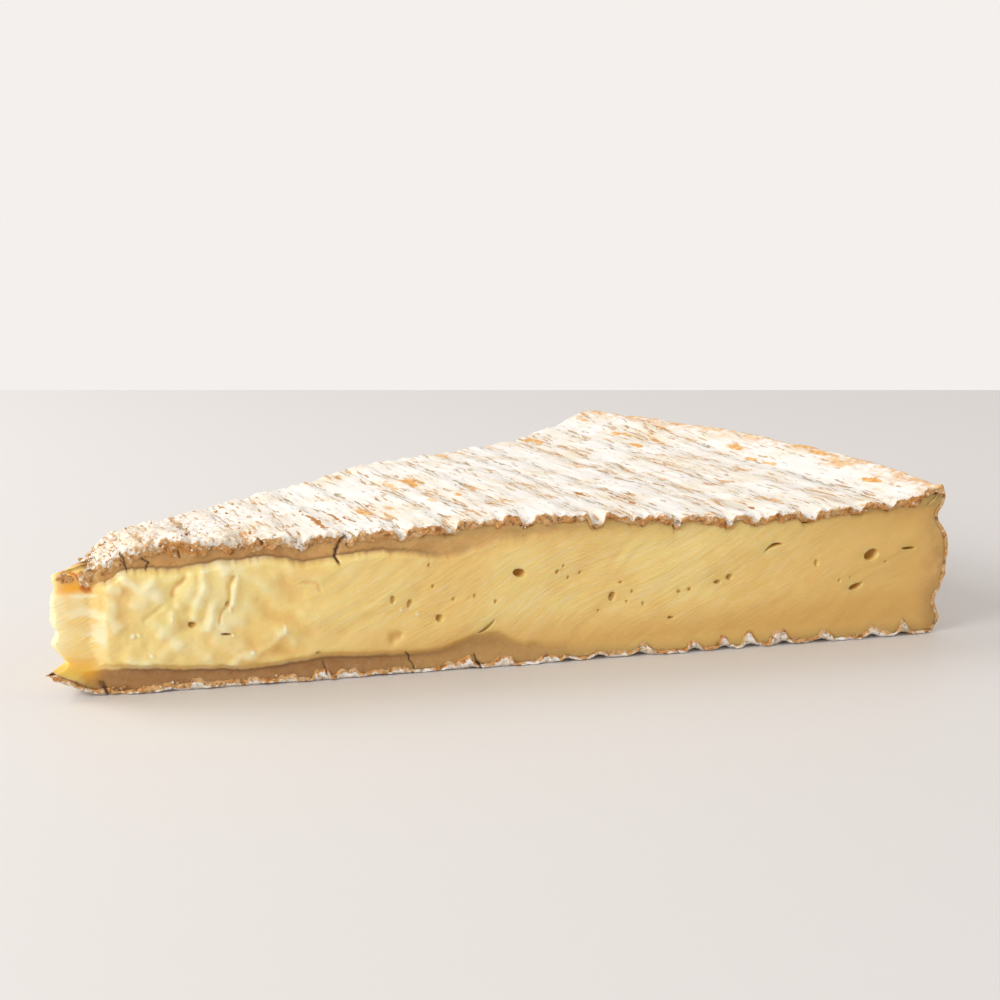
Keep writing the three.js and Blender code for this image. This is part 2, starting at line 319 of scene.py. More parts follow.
def from_cut(along, across):
    """How far a point is from the nearer cut."""
    return (1 - np.abs(across)) * HALF_ANGLE * np.maximum(along, 0)


def over_lines(x, y):
    """The place across the mat lines and the place along them."""
    slant_cos, slant_sin = math.cos(MAT_LINE_SLANT), math.sin(MAT_LINE_SLANT)
    return x * slant_cos - y * slant_sin, x * slant_sin + y * slant_cos


def line_distances(x, y, along):
    """How far a point is from each mat line."""
    over, _ = over_lines(x, y)
    per_cut = math.cos(HALF_ANGLE - MAT_LINE_SLANT)
    wander = 0.9 * uneven(y * 0.11, along * 0.05)
    return [over - line * per_cut - wander for line in MAT_LINES]


def mat_press(x, y, along):
    """0 between the mat lines and 1 on them."""
    return np.max([groove(far, MAT_LINE_HALF_WIDTH) for far in line_distances(x, y, along)], axis=0)


def mat_notch(x, y, along):
    """1 in the narrow flat notches where the mat lines meet a cut, and 0 on the hills between them."""
    notches = []
    for count, far in enumerate(line_distances(x, y, along)):
        width, deep = 1.7 + 0.6 * math.sin(7.3 * count), 0.9 + 0.35 * math.sin(4.1 * count + 1)
        ragged = np.abs(far + 0.5 * noise(7, along / 0.8)) / width
        notches.append(deep * fall(0.3, 1, ragged))
    return np.max(notches, axis=0)


def top_at(x, y, along, across):
    """The height of the top rind."""
    lip = LIP_HEIGHT * smooth(LIP_FROM, WHEEL_RADIUS, along)
    sink = TIP_SINK * fall(-TIP_REACH, 14, along)
    swells = sum(s["height"] * hill(along, s["at"], s["reach"]) for s in (SWELL, DIP))
    near_notch = mix(MAT_NOTCH["tip"], MAT_NOTCH["side"], smooth(40, 100, along))
    notch = np.where(across < 0, near_notch, MAT_NOTCH["far"])
    at_cut = fall(0, MAT_NOTCH_REACH, from_cut(along, across))
    fade = smooth(4, 40, along) * (1 - 0.6 * smooth(174, WHEEL_RADIUS, along))
    pressed = (MAT_LINE_DEPTH * mat_press(x, y, along) + notch * at_cut * mat_notch(x, y, along)) * fade
    lumps = np.where(across < 0, 0.35, 0.15)
    lumpy = lumps * at_cut * rough(8, along / 2.1, across) * smooth(1, 8, along)
    return THICKNESS + swells + lip - sink - pressed + lumpy + 0.25 * uneven(x * 0.13, y * 0.17)


def underside_at(x, along, across):
    """The height of the lower rind above the table."""
    line = UNDERSIDE_LIFT * np.maximum(0, 2 * np.cos(2 * math.pi * x / UNDERSIDE_PITCH) - 1)
    shift = np.where(across < 0, 0, FAR_ARCH_SHIFT)
    arch = np.max([groove(along - at - shift, ARCH_HALF_WIDTH) for at in ARCHES], axis=0)
    at_cut = fall(0, ARCH_REACH, from_cut(along, across))
    settled = mix(0.35, 1, smooth(70, 110, along))
    flap = TIP_FLAP_LIFT * fall(LOWER_START, 4.5, along)
    line = line * smooth(10, 30, along) * (1 - at_cut)
    return flap + np.maximum(line, ARCH_LIFT * settled * arch * at_cut)


def side_out(angle, height):
    """How far the wheel's side stands out at a height."""
    height = np.clip(height, 0, SIDE_WAVES[-1][0])
    return curve_through(SIDE_WAVES, height) + SIDE_UNEVENNESS * uneven(angle * 22, height * 0.2)


def far_from(points, along, z):
    """How far a place on a cut is from a line through points."""
    nearest = np.full(np.broadcast(along, z).shape, np.inf)
    for start, end in zip(points, points[1:]):
        run, rise = end[0] - start[0], end[1] - start[1]
        share = ((along - start[0]) * run + (z - start[1]) * rise) / (run * run + rise * rise)
        share = np.clip(share, 0, 1)
        nearest = np.minimum(nearest, np.hypot(along - start[0] - share * run, z - start[1] - share * rise))
    return nearest


def near_place(side, along):
    """The place of the near cut whose relief a place of either cut has."""
    return along if side == NEAR else 1.06 * along + 9


def folds(side, along, z):
    """The folds and creases of the soft paste."""
    place = near_place(side, along)
    place, z = place + 0.8 * noise(34, place / 3, z / 3), z + 0.8 * noise(35, place / 3, z / 3)
    return sum(height * groove(far_from(points, place, z), width) for height, width, *points in FOLDS)


def wet_beads(side, along, z):
    """1 on the small wet beads of the soft paste."""
    place = near_place(side, along)
    return np.max([groove(far_from(points, place, z), 1.6 * width) for width, *points in WET_BEADS], axis=0)


def cracked(side, along, z):
    """1 in the cracks of the crust."""
    place = near_place(side, along)
    place = place + 0.3 * noise(36, place / 1.2, z / 0.9)
    return np.max([fall(0.4, 1, far_from(points, place, z) / width) for width, *points in CRACKS], axis=0)


def lobes(side, along):
    """The height to which the white coat of the lower rind rises on a cut."""
    place = near_place(side, along) + 0.7 * noise(37, along / 1.1)
    rises = [height * fall(0.35, 1, np.abs(place - at) / width) for at, width, height in LOBES]
    return np.max(rises, axis=0)


def crust_lines(side, along):
    """The heights at which the brown crust ends above and below the paste."""
    place = near_place(side, along)
    ragged = (0.3 * noise(44, place / 1.9) + 0.14 * noise(45, place / 0.7)) * crust_shown(place)
    upper, lower = (curve_through(line, place) for line in (UPPER_CRUST_LINE, LOWER_CRUST_LINE))
    return upper + ragged, lower + 0.5 * ragged


def crust_shown(along):
    """1 where the brown crust has a sharp edge and 0 where it fades into the paste."""
    return fall(*CRUST_FADES, along)


def cut_out(side, along, z):
    """How far a cut stands out from its plane."""
    softness = fall(FIRM_FROM, FIRM_AT, along)
    upper, lower = crust_lines(side, along)
    sharp = crust_shown(along)
    above = smooth(upper - mix(2.0, 0.9, sharp), upper + mix(0.4, 0.05, sharp), z)
    below = fall(lower - mix(1.4, 0.1, sharp), lower + mix(3, 1.6, sharp), z)
    in_paste = (1 - above) * (1 - below)
    bulge = PASTE_BULGE * mix(0.12, 1, softness) * smooth(1.5, 5, along) * in_paste
    foot = FOOT_BULGE * fall(0.6, 4.4, z) * smooth(4, 12, along)
    overhang = 0.6 * smooth(THICKNESS - 2, THICKNESS, z)
    slow = 0.25 * uneven(0.16 * near_place(side, along), 0.3 * z) * smooth(6, 20, along)
    relief = folds(side, along, z) * smooth(3, 4.5, along) + paste_texture(side, along, z)
    relief = relief + BEAD_HEIGHT * wet_beads(side, along, z)
    step = 0.7 * smooth(TIP_LEDGE - 0.2, TIP_LEDGE + 0.3, z) * fall(2.6, 3.6, along)
    out = bulge + foot + overhang + slow + relief * in_paste - step - CRACK_DEPTH * cracked(side, along, z)
    return out * fall(172, WHEEL_RADIUS, along)


def dragged(along, z, run, rise):
    """The place along the way that the knife went, and the place across it."""
    return along * run + z * rise, z * run - along * rise


def paste_texture(side, along, z):
    """Smears and dents of the soft paste near the tip, and the drag of the knife further on."""
    seed = 40 if side == NEAR else 60
    smear = 0.5 * noise(seed, along / 3.6 + z / 5, z / 3.4)
    smear = smear + 0.2 * noise(seed + 1, along / 1.7, z / 2.2 + along / 8)
    run, over = dragged(along, z, *RELIEF_DRAG)
    over = over + 3.2 * noise(seed + 2, along / 13, z / 10)
    drag = 0.12 * noise(seed + 3, run / 13, over / 1.9) + 0.05 * noise(seed + 4, run / 8, over / 0.8)
    soft = fall(34, 60, along)
    return smear * mix(0.2, 1, soft) * smooth(3, 7, along) + drag * mix(1, 0.5, soft)


def tip_bulge(z, across):
    """How far the torn tip sags out and is pinched in."""
    return curve_through(TIP_PROFILE, z) * (1 - 0.35 * across ** 2)


def cut_normal(side):
    return np.array((-math.sin(HALF_ANGLE), side * math.cos(HALF_ANGLE)))


def moved_out(side, x, y, out):
    """A place on a cut, moved out of it."""
    normal = cut_normal(side)
    return x + normal[0] * out, y + normal[1] * out


# Mesh helpers

def choose(*pieces):
    """Selects some pieces and nothing else, and makes the first one active."""
    bpy.ops.object.select_all(action="DESELECT")
    for piece in pieces:
        piece.select_set(True)
    bpy.context.view_layer.objects.active = pieces[0]


def joined(pieces):
    choose(*pieces)
    bpy.ops.object.join()
    return bpy.context.active_object


def remove(*pieces):
    choose(*pieces)
    bpy.ops.object.delete()


def enter(piece):
    choose(piece)
    bpy.ops.object.mode_set(mode="EDIT")


def leave():
    bpy.ops.object.mode_set(mode="OBJECT")


def extrude(rise):
    bpy.ops.mesh.extrude_region_move(TRANSFORM_OT_translate={"value": (0, 0, rise)})


def turn_outwards(piece):
    """Turns the faces of a piece outwards."""
    enter(piece)
    bpy.ops.mesh.select_all(action="SELECT")
    bpy.ops.mesh.normals_make_consistent(inside=False)
    leave()


def read_places(piece):
    flat = np.empty(len(piece.data.vertices) * 3)
    piece.data.vertices.foreach_get("co", flat)
    return flat.reshape(-1, 3)


def write_places(piece, places):
    """Writes places given in millimetres in the wedge's frame."""
    moved = (places - np.array((MIDDLE, 0, 0))) * MM
    piece.data.vertices.foreach_set("co", moved.ravel())
    piece.data.update()


def wedge_places(piece):
    """The piece's points in millimetres in the wedge's frame."""
    return read_places(piece) / MM + np.array((MIDDLE, 0, 0))


def masks(piece, **values):
    """Keeps values for each point, which the materials read by their names."""
    for name, value in values.items():
        value = np.asarray(value, float)
        kind, field = ("FLOAT", "value") if value.ndim == 1 else ("FLOAT_VECTOR", "vector")
        layer = piece.data.attributes.new(name, kind, "POINT")
        layer.data.foreach_set(field, value.ravel())


def finish_piece(piece, name, *materials):
    """Names a piece, shades it, gives it its materials and says what it stands for."""
    turn_outwards(piece)
    bpy.ops.object.shade_smooth()
    piece.name = piece.data.name = name
    for material in materials:
        piece.data.materials.append(material)
    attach(piece, "root")
    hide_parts("brie_wedge")


def ringed_sheet(columns, rows):
    """A grid whose border is drawn down in rings and closed to one point. Ring k lies at z = -k."""
    bpy.ops.mesh.primitive_grid_add(x_subdivisions=columns, y_subdivisions=rows, size=1)
    piece = bpy.context.active_object
    enter(piece)
    bpy.ops.mesh.select_all(action="SELECT")
    bpy.ops.mesh.region_to_loop()
    for _ in range(EDGE_RINGS + 1):
        extrude(-1)
    bpy.ops.mesh.merge(type="COLLAPSE")
    leave()
    return piece


def select_only(piece, kind, chosen):
    """Selects some of the points or edges of a piece in object mode, and nothing else."""
    bpy.context.tool_settings.mesh_select_mode = (kind == "vertices", kind == "edges", False)
    for name in ("vertices", "edges", "polygons"):
        elements = getattr(piece.data, name)
        wanted = chosen if name == kind else np.zeros(len(elements), bool)
        elements.foreach_set("select", wanted)


def risen_ring(steps, rows):
    """A ring of points drawn up in rows from z = 0 to 1, closed to one point below and one above."""
    bpy.ops.mesh.primitive_circle_add(vertices=steps, radius=1, fill_type="NOTHING")
    piece = bpy.context.active_object
    enter(piece)
    bpy.ops.mesh.select_all(action="SELECT")
    extrude(1)
    leave()
    ends = np.empty(2 * len(piece.data.edges), int)
    piece.data.edges.foreach_get("vertices", ends)
    heights = read_places(piece)[:, 2][ends.reshape(-1, 2)]
    select_only(piece, "edges", np.abs(heights[:, 1] - heights[:, 0]) > 0.5)
    enter(piece)
    bpy.ops.mesh.subdivide(number_cuts=rows - 1)
    leave()
    for level, rise in ((0, -1), (1, 1)):
        select_only(piece, "vertices", np.abs(read_places(piece)[:, 2] - level) < AT_EDGE)
        enter(piece)
        extrude(rise)
        bpy.ops.mesh.merge(type="COLLAPSE")
        leave()
    return piece


# The paste and its brown crust, as the cuts and the tip show them

def wall_place(side, across, share, z):
    """A point of the wall round the wedge, with the relief of the cut or the tip."""
    along = share * CUT_LENGTH - TIP_REACH
    x, y = plan(share, across)
    at_side = smooth(0.35, 1, np.abs(across))
    x, y = moved_out(side, x, y, cut_out(side, along, z) * at_side)
    angle = HALF_ANGLE * across
    # The wall lies inside the rind of the side, and meets its edge at the cuts
    inset = mix(1.5, 0.8, smooth(0.985, 1, np.abs(across))) * smooth(180, WHEEL_RADIUS, along)
    rim = smooth(RIM_FROM, WHEEL_RADIUS, along) * side_out(angle, z) - inset
    x, y = x + rim * np.cos(angle), y + rim * np.sin(angle)
    smears = 0.35 * noise(81, z / 1.9, across * 0.7 + along / 7) + 0.16 * noise(82, z / 0.8, across * 1.1)
    x = x - fall(-TIP_REACH, 8, along) * (tip_bulge(z, across) + smears)
    return x, y


def wall_heights(side, along, share, across, level):
    """The height of each row: the rows follow the lines where the crust meets the paste."""
    x, y = plan(share, across)
    # Where the tip sags out, its foot rests on the part of the flap that lies below it
    sag = FLAP_REACH * fall(-TIP_REACH, 8, along)
    foot = underside_at(x, along - sag, across) + 0.7
    top = top_at(x, y, along, across) - 0.6
    upper, lower = crust_lines(side, along)
    sharp = crust_shown(along)
    low_share, high_share = LOWER_CRUST_ROWS / WALL_ROWS, 1 - UPPER_CRUST_ROWS / WALL_ROWS
    lower = mix(mix(foot, top, low_share), np.maximum(lower, foot + 0.8), sharp)
    upper = mix(mix(foot, top, high_share), np.minimum(upper, top - 0.8), sharp)
    in_lower = mix(foot, lower, level / low_share)
    in_paste = mix(lower, upper, (level - low_share) / (high_share - low_share))
    in_upper = mix(upper, top, (level - high_share) / (1 - high_share))
    return np.where(level < low_share, in_lower, np.where(level > high_share, in_upper, in_paste))


def make_paste():
    steps = NEAR_STEPS + RIM_STEPS + FAR_STEPS + TIP_STEPS
    piece = risen_ring(steps, WALL_ROWS)
    marks = read_places(piece)
    level = marks[:, 2]
    turn = np.round(np.arctan2(marks[:, 1], marks[:, 0]) / (2 * math.pi) * steps).astype(int) % steps
    corners = np.cumsum((0, NEAR_STEPS, RIM_STEPS, FAR_STEPS, TIP_STEPS))
    share = crowded(np.interp(turn, corners, (0, 1, 1, 0, 0)))
    across = np.interp(turn, corners, (-1, -1, 1, 1, -1))
    along = share * CUT_LENGTH - TIP_REACH
    places = np.empty_like(marks)
    row = np.clip(level, 0, 1)
    for side in (NEAR, FAR):
        mine = across < 0 if side == NEAR else across >= 0
        z = wall_heights(side, along, share, across, row)
        x, y = wall_place(side, across, share, z)
        places[mine] = np.column_stack((x, y, z))[mine]
    # Over the tip the wall closes to its middle line, and further on it only draws in under the rind
    centre_x, centre_y = plan(share, 0 * across)
    hidden = smooth(1 - 5 / WALL_ROWS, 1, row)
    shut = hidden * fall(1.5, 5, along)
    for axis, centre in enumerate((centre_x, centre_y)):
        places[:, axis] = mix(places[:, axis], centre, shut)
    places[:, 2] += 0.9 * fall(0, 4, along) * smooth(0.8, 1, row)
    inward = np.where(across < 0, 1, -1) * hidden * smooth(3, 8, along) * (np.abs(across) == 1)
    inward = inward * (1 - 0.85 * smooth(172, 181, along))
    places[:, 1] += inward * 0.7
    # The last row is tucked in below the rind, so that the closing faces stay inside
    last = (level > 0.999) & (along > 6)
    places[last, 0] -= 2.5 * smooth(0.9, 1, share[last])
    places[last, 1] -= np.sign(across[last]) * 2.5 * fall(0.98, 1, share[last])
    places[last, 2] -= 3.0
    places[level < -0.5] = (INSIDE, 0, 12)
    places[level > 1.5] = (INSIDE, 0, 16)
    write_places(piece, places)
    open_holes(piece)
    return piece


def gas_hole(side, along, z, half_long, half_tall, tilt=0, bow=0):
    """A smooth hollow, longer than tall where the curd stretched, and bowed where it tore."""
    segments, rings = (24, 12) if half_long > 0.7 else (14, 8)
    bpy.ops.mesh.primitive_uv_sphere_add(segments=segments, ring_count=rings, radius=1)
    hole = bpy.context.active_object
    ball = read_places(hole)
    depth = HOLE_DEPTH * min(1.35, 0.1 + 0.7 * half_long)
    run = ball[:, 0] * half_long
    rise = ball[:, 2] * half_tall + bow * (ball[:, 0] ** 2 - 0.5)
    cosine, sine = math.cos(math.radians(tilt)), math.sin(math.radians(tilt))
    # The hollow leans towards the tip and up, so that its other wall slopes gently
    inward = 0.2 - 0.8 * ball[:, 1]
    at_along = along + run * cosine - rise * sine - 0.75 * half_long * inward
    at_z = z + run * sine + rise * cosine + 0.4 * half_tall * inward
    level = cut_out(side, np.array([along]), np.array([z]))[0]
    x, y = plan(share_at(at_along), np.full_like(at_along, side))
    x, y = moved_out(side, x, y, level + ball[:, 1] * depth - 0.25 * depth)
    write_places(hole, np.column_stack((x, y, at_z)))
    return hole


def open_holes(piece):
    """Cuts the gas holes, whose walls keep a material of their own."""
    tables = ((NEAR, NEAR_HOLES), (FAR, FAR_HOLES))
    cutter = joined([gas_hole(side, *row) for side, table in tables for row in table])
    turn_outwards(cutter)
    cutter.data.materials.append(hole_wall)
    turn_outwards(piece)
    piece.data.materials.append(ripe_paste)
    cut = piece.modifiers.new("holes", "BOOLEAN")
    cut.operation = "DIFFERENCE"
    cut.solver = "MANIFOLD"
    cut.object = cutter
    cut.material_mode = "TRANSFER"
    bpy.ops.object.modifier_apply(modifier="holes")
    remove(cutter)


def mark_paste(piece):
    """Masks for the paste's materials, from where each point lies."""
    x, y, z = wedge_places(piece).T
    side = np.where(y < BETWEEN_CUTS[0] * x + BETWEEN_CUTS[1], NEAR, FAR)
    along = x * math.cos(HALF_ANGLE) + np.abs(y) * math.sin(HALF_ANGLE)
    crust, seam, deep, relief, crack, bead = (np.zeros_like(x) for _ in range(6))
    for which in (NEAR, FAR):
        mine = side == which
        at, height = along[mine], z[mine]
        place = near_place(which, at)
        upper, lower = crust_lines(which, at)
        crisp = fall(52, 84, place)
        above = smooth(upper - mix(3.0, 0.0, crisp), upper + mix(1.6, 0.2, crisp), height)
        below = fall(lower - mix(1.0, 0.2, crisp), lower + mix(2.4, 0.0, crisp), height)
        faded = mix(0.6, 1, crust_shown(at)) * mix(1, 0.72, smooth(52, 76, place))
        crust[mine] = np.maximum(above, below) * faded
        # Painted shade: a thin dark line in the crease where the crust meets the paste
        edge = np.maximum(groove(height - upper - 0.3, 0.55), groove(height - lower + 0.3, 0.5))
        seam[mine] = edge * crisp * smooth(5, 9, at)
        cut_x, cut_y = plan(share_at(at), np.full_like(at, which))
        normal = cut_normal(which)
        out = (x[mine] - cut_x) * normal[0] + (y[mine] - cut_y) * normal[1]
        # How far a point lies inside a gas hole, which the holes' material darkens as painted shade
        deep[mine] = np.clip((cut_out(which, at, height) - out) / 1.1, 0, 1)
        relief[mine] = folds(which, at, height) + 1.2 * paste_texture(which, at, height)
        # Cracks of the crust, which the materials darken with painted shade as well as the crust's brown
        crack[mine] = cracked(which, at, height)
        # Wet beads, which the paste material paints with a white highlight as well as a lower roughness
        bead[mine] = wet_beads(which, at, height)
    at_face = smooth(4.2, 5.2, along)
    crust = np.maximum(crust, 0.7 * smooth(177, 184, along))
    crust = crust * np.where(z < 10, smooth(-2.5, 0.5, along), smooth(0.5, 3, along))
    # Painted highlight on the ridges of the folds; the hollows between them get painted shade
    ridge = smooth(0.0, 1.0, relief) * at_face * (1 - 0.6 * smooth(40, 80, along))
    # Pale smears on the tip's end, and the end itself painted lighter as a highlight
    smears = smooth(-0.6, 0.35, rough(83, z / 1.9, along / 4)) * (z < TIP_LEDGE)
    pale_end = np.maximum(smears, fall(-4.4, -1.6, along)) * (1 - at_face) * smooth(6, 9, z)
    tan = 0.8 * smooth(120, 182, along) + 0.85 * fall(3, 13, z) * smooth(20, 80, along)
    tan = tan + 0.35 * smooth(THICKNESS - 8, THICKNESS, z) * smooth(60, 100, along)
    ledge = smooth(TIP_LEDGE + 0.5 * noise(84, along / 1.2), TIP_LEDGE + 0.9, z)
    # Painted glow of light in the paste: on the tip above the ledge, and at the tip's foot below
    lit = smooth(-4.4, -1.0, along) * fall(1.4, 2.8, along) * ledge
    foot = 0.8 * fall(0.5, 4.5, along) * hill(z, 5.6, 2.6)
    ember_width = mix(1.1, 0.5, smooth(TIP_LEDGE, TIP_LEDGE + 3, z))
    embers = fall(0.35, 1.2, far_from(EMBER_LINE, along, z) / ember_width)
    run, over = dragged(along, z, *STREAK_DRAG)
    over = over + 2.2 * noise(50, along / 24, z / 16)
    masks(
        piece, crust=crust, seam=seam, deep=deep, crack=crack, bead=0.85 * smooth(0.35, 0.95, bead),
        low=fall(8, 14, z), ridge=np.maximum(ridge, pale_end), crease=smooth(0.0, 0.9, -relief) * at_face,
        # The pale mask is painted light: the paste paler towards the tip and up the cut
        tan=np.clip(tan, 0, 1), pale=fall(4, 60, along) * (0.45 + 0.55 * smooth(6, 22, z)),
        wet=fall(30, 75, along) * smooth(2, 6, along),
        glow=np.maximum(lit * (1 - 0.6 * smooth(21.5, 24.5, z)), foot),
        ember=embers * ledge * (side == NEAR), drag=np.column_stack((run / 13, over / 1.1, 9.0 * side)),
    )


# The rinds

def even_across(v):
    """Spreads the rows of a sheet, closer together towards the cuts."""
    return v + 0.1 * np.sin(math.pi * v)


def crumble(seed, along, depth):
    """The grainy relief of a broken crust edge, coarse near the tip and fine further on."""
    grain = rough(seed, along / 0.85, depth / 0.7)
    lumps = noise(seed + 5, along / 2.4, depth / 1.7)
    return (0.26 * grain + 0.2 * lumps) * mix(1.25, 1.0, smooth(45, 75, along))


def top_relief(x, y, along):
    """The fine relief of the top: lumps, straw lines and the crumbled end at the tip."""
    over, run = over_lines(x, y)
    straws = 0.1 * noise(11, over / 1.3, run / 14) + 0.05 * noise(12, over / 0.6, run / 6)
    lumps = 0.22 * noise(13, x / 4.5, y / 6) + 0.12 * noise(14, x / 1.5, y / 1.9)
    crumbs = 0.38 * rough(15, x / 1.7, y / 1.8) * fall(10, 46, along)
    return straws * smooth(15, 50, along) + lumps + crumbs


def top_sheet_place(u, across):
    """A point of the rind that covers the top and folds down over the side, and its inward direction."""
    corner = TOP_COLUMNS / (TOP_COLUMNS + SIDE_COLUMNS)
    reach = WHEEL_RADIUS - RIND_START
    top_along = RIND_START + crowded(np.clip(u / corner, 0, 1)) * reach
    ragged = 1.3 * noise(21, across * 2.5) + 0.5 * noise(20, across * 9)
    top_along = top_along + ragged * fall(RIND_START, RIND_START + 6, top_along)
    share = share_at(top_along)
    x, y = plan(share, across)
    angle = HALF_ANGLE * across
    torn = 0.32 * rough(19, x / 1.1, y / 1.1) * fall(0, 2.5, from_cut(top_along, across))
    top_z = top_at(x, y, top_along, across) + top_relief(x, y, top_along) + 0.15 + torn * (across < 0)
    push = smooth(RIM_FROM, WHEEL_RADIUS, top_along) * side_out(angle, top_z)
    x, y = x + push * np.cos(angle), y + push * np.sin(angle)
    drop = np.clip((u - corner) / (1 - corner), 0, 1)
    side_z = mix(top_z, SIDE_FOOT, drop)
    side_radius = WHEEL_RADIUS + side_out(angle, side_z) + side_relief(angle, side_z) * smooth(0, 0.1, drop)
    on_side = u > corner
    x = np.where(on_side, side_radius * np.cos(angle), x)
    y = np.where(on_side, side_radius * np.sin(angle), y)
    z = np.where(on_side, side_z, top_z)
    turn = mix(0, math.pi / 2, smooth(-5, 5, np.where(on_side, drop * 33, (u - corner) / corner * reach)))
    inward = np.column_stack((-np.sin(turn) * np.cos(angle), -np.sin(turn) * np.sin(angle), -np.cos(turn)))
    return np.column_stack((x, y, z)), inward, np.where(on_side, WHEEL_RADIUS, top_along), drop


def edged_sheet(columns, rows):
    """A sheet with edge rings. For each point: its share along the sheet, its place across it, its
    ring, and whether it lies on the edge or is the last point, where the rings close."""
    piece = ringed_sheet(columns, rows)
    marks = read_places(piece)
    ring = np.round(-marks[:, 2]).astype(int)
    shown = np.minimum(ring, EDGE_RINGS)
    return piece, marks[:, 0] + 0.5, even_across(2 * marks[:, 1]), shown, ring > 0, ring > EDGE_RINGS


def ring_depth(thickness, ring, room=1):
    """How far each ring of an edge lies from the surface. The last two are hidden inside the wedge."""
    hidden = np.where(ring > SHOWN_RINGS, HIDDEN_DEPTH + HIDDEN_STEP * (ring - SHOWN_RINGS - 1), 0)
    return thickness * np.minimum(ring, SHOWN_RINGS) / SHOWN_RINGS + hidden * room


def ring_swell(ring):
    """1 on the middle of an edge and 0 on its borders."""
    return np.sin(math.pi * np.minimum(ring, SHOWN_RINGS) / SHOWN_RINGS)


def push_out(places, chosen, side, out):
    """Moves the chosen points out of a cut."""
    places[chosen, :2] += cut_normal(side) * out[chosen, None]


def swell_edges(places, edge, along, across, out, lip, height, share):
    """Moves a rind's edges out with the cuts, and the surface near them, so that the lip overhangs."""
    close = fall(0, LIP_REACH, (1 - np.abs(across)) * HALF_ANGLE * np.maximum(along, 3))
    for side in (NEAR, FAR):
        relief = cut_out(side, along, height) * share
        push_out(places, edge & (np.abs(across - side) < AT_EDGE), side, out + relief)
        push_out(places, ~edge & (np.sign(across) == side), side, (relief + lip) * close)


def side_relief(angle, z):
    """The fine relief of the wheel's side: long waves round it and lumps of mould."""
    round_it = angle * WHEEL_RADIUS
    fine = 0.22 * noise(17, round_it / 2.2, z / 1.7) + 0.1 * noise(18, round_it / 0.9, z / 0.9)
    return 0.35 * noise(16, round_it / 9, z / 2.6) + fine


def make_top_rind():
    piece, u, across, ring, edge, apex = edged_sheet(TOP_COLUMNS + SIDE_COLUMNS, SHEET_ROWS)
    places, inward, along, drop = top_sheet_place(u, across)
    on_side = smooth(0, 0.1, drop)
    notch = mat_notch(places[:, 0], places[:, 1], along) * smooth(30, 60, along)
    thickness = mix(RIND_EDGE["tip"], RIND_EDGE["soft"], smooth(44, 58, along))
    thickness = mix(thickness, RIND_EDGE["firm"], smooth(90, 112, along))
    thickness = thickness * (1 + 0.4 * rough(22, along / 2.6, 5 * across)) * (1 - 0.45 * notch)
    thickness = mix(np.maximum(thickness, 0.9) * smooth(-1, 6, along), RIND_EDGE["side"], on_side)
    depth = ring_depth(thickness, ring)
    lip = 0.1 + 0.25 * ring_swell(ring) - 0.35 * fall(0, 1.6, ring)
    loose = crumble(23, along + across * 300 + drop * 40, depth) * smooth(0, 2, ring)
    out = mix(lip + loose, 0.05 + 0.5 * loose, on_side)
    room = np.clip((along + 5) / 14, 0.15, 1)
    drawn_in = HIDDEN_IN * room + HIDDEN_IN_STEP * (ring - SHOWN_RINGS - 1)
    out = np.where(ring > SHOWN_RINGS, -drawn_in, out)
    places = places + inward * (depth * edge)[:, None]
    swell_edges(places, edge, along, across, out, lip, places[:, 2], 1 - drop)
    at_tip = edge & (u < AT_EDGE)
    places[at_tip, 0] -= out[at_tip] * 0.6
    places[apex] = (INSIDE, 0, 15)
    write_places(piece, places)
    # The white coat hangs down in lobes near the tip and into the notches further on
    hang = 1.5 * (noise(28, along / 2.7, 4 * across) + 0.6) * fall(42, 60, along)
    hang = hang + 0.35 * noise(29, along / 0.8, 4 * across)
    hang = np.maximum(hang, 0.4 * np.clip(notch, 0, 1) * thickness)
    hang = np.maximum(hang, 0.12) + 0.35 * rough(30, along / 0.9, depth / 0.6)
    patchy = 0.12 + 0.5 * np.clip(noise(46, 33 * drop / 2.4, 3 * across), 0, 1)
    hang = np.where(drop > 0.02, patchy, hang)
    by_cut = 0.8 * fall(0.5, 2.5, from_cut(along, across)) * (across < 0)
    rust, gash = stains(places[:, 0], places[:, 1])
    # The groove mask greys the mat lines' grooves as painted shade
    masks(
        piece, edge=np.where(edge, smooth(-0.2, 0.25, depth - hang), 0),
        crack=np.where(across < -0.97, cracked(NEAR, along, places[:, 2]), 0),
        groove=mat_press(places[:, 0], places[:, 1], along) * (1 - drop),
        rim=smooth(176, WHEEL_RADIUS, along), tip=np.maximum(fall(12, 60, along), by_cut),
        rust=np.where(edge, 0, rust), gash=np.where(edge, 0, gash),
    )
    return piece


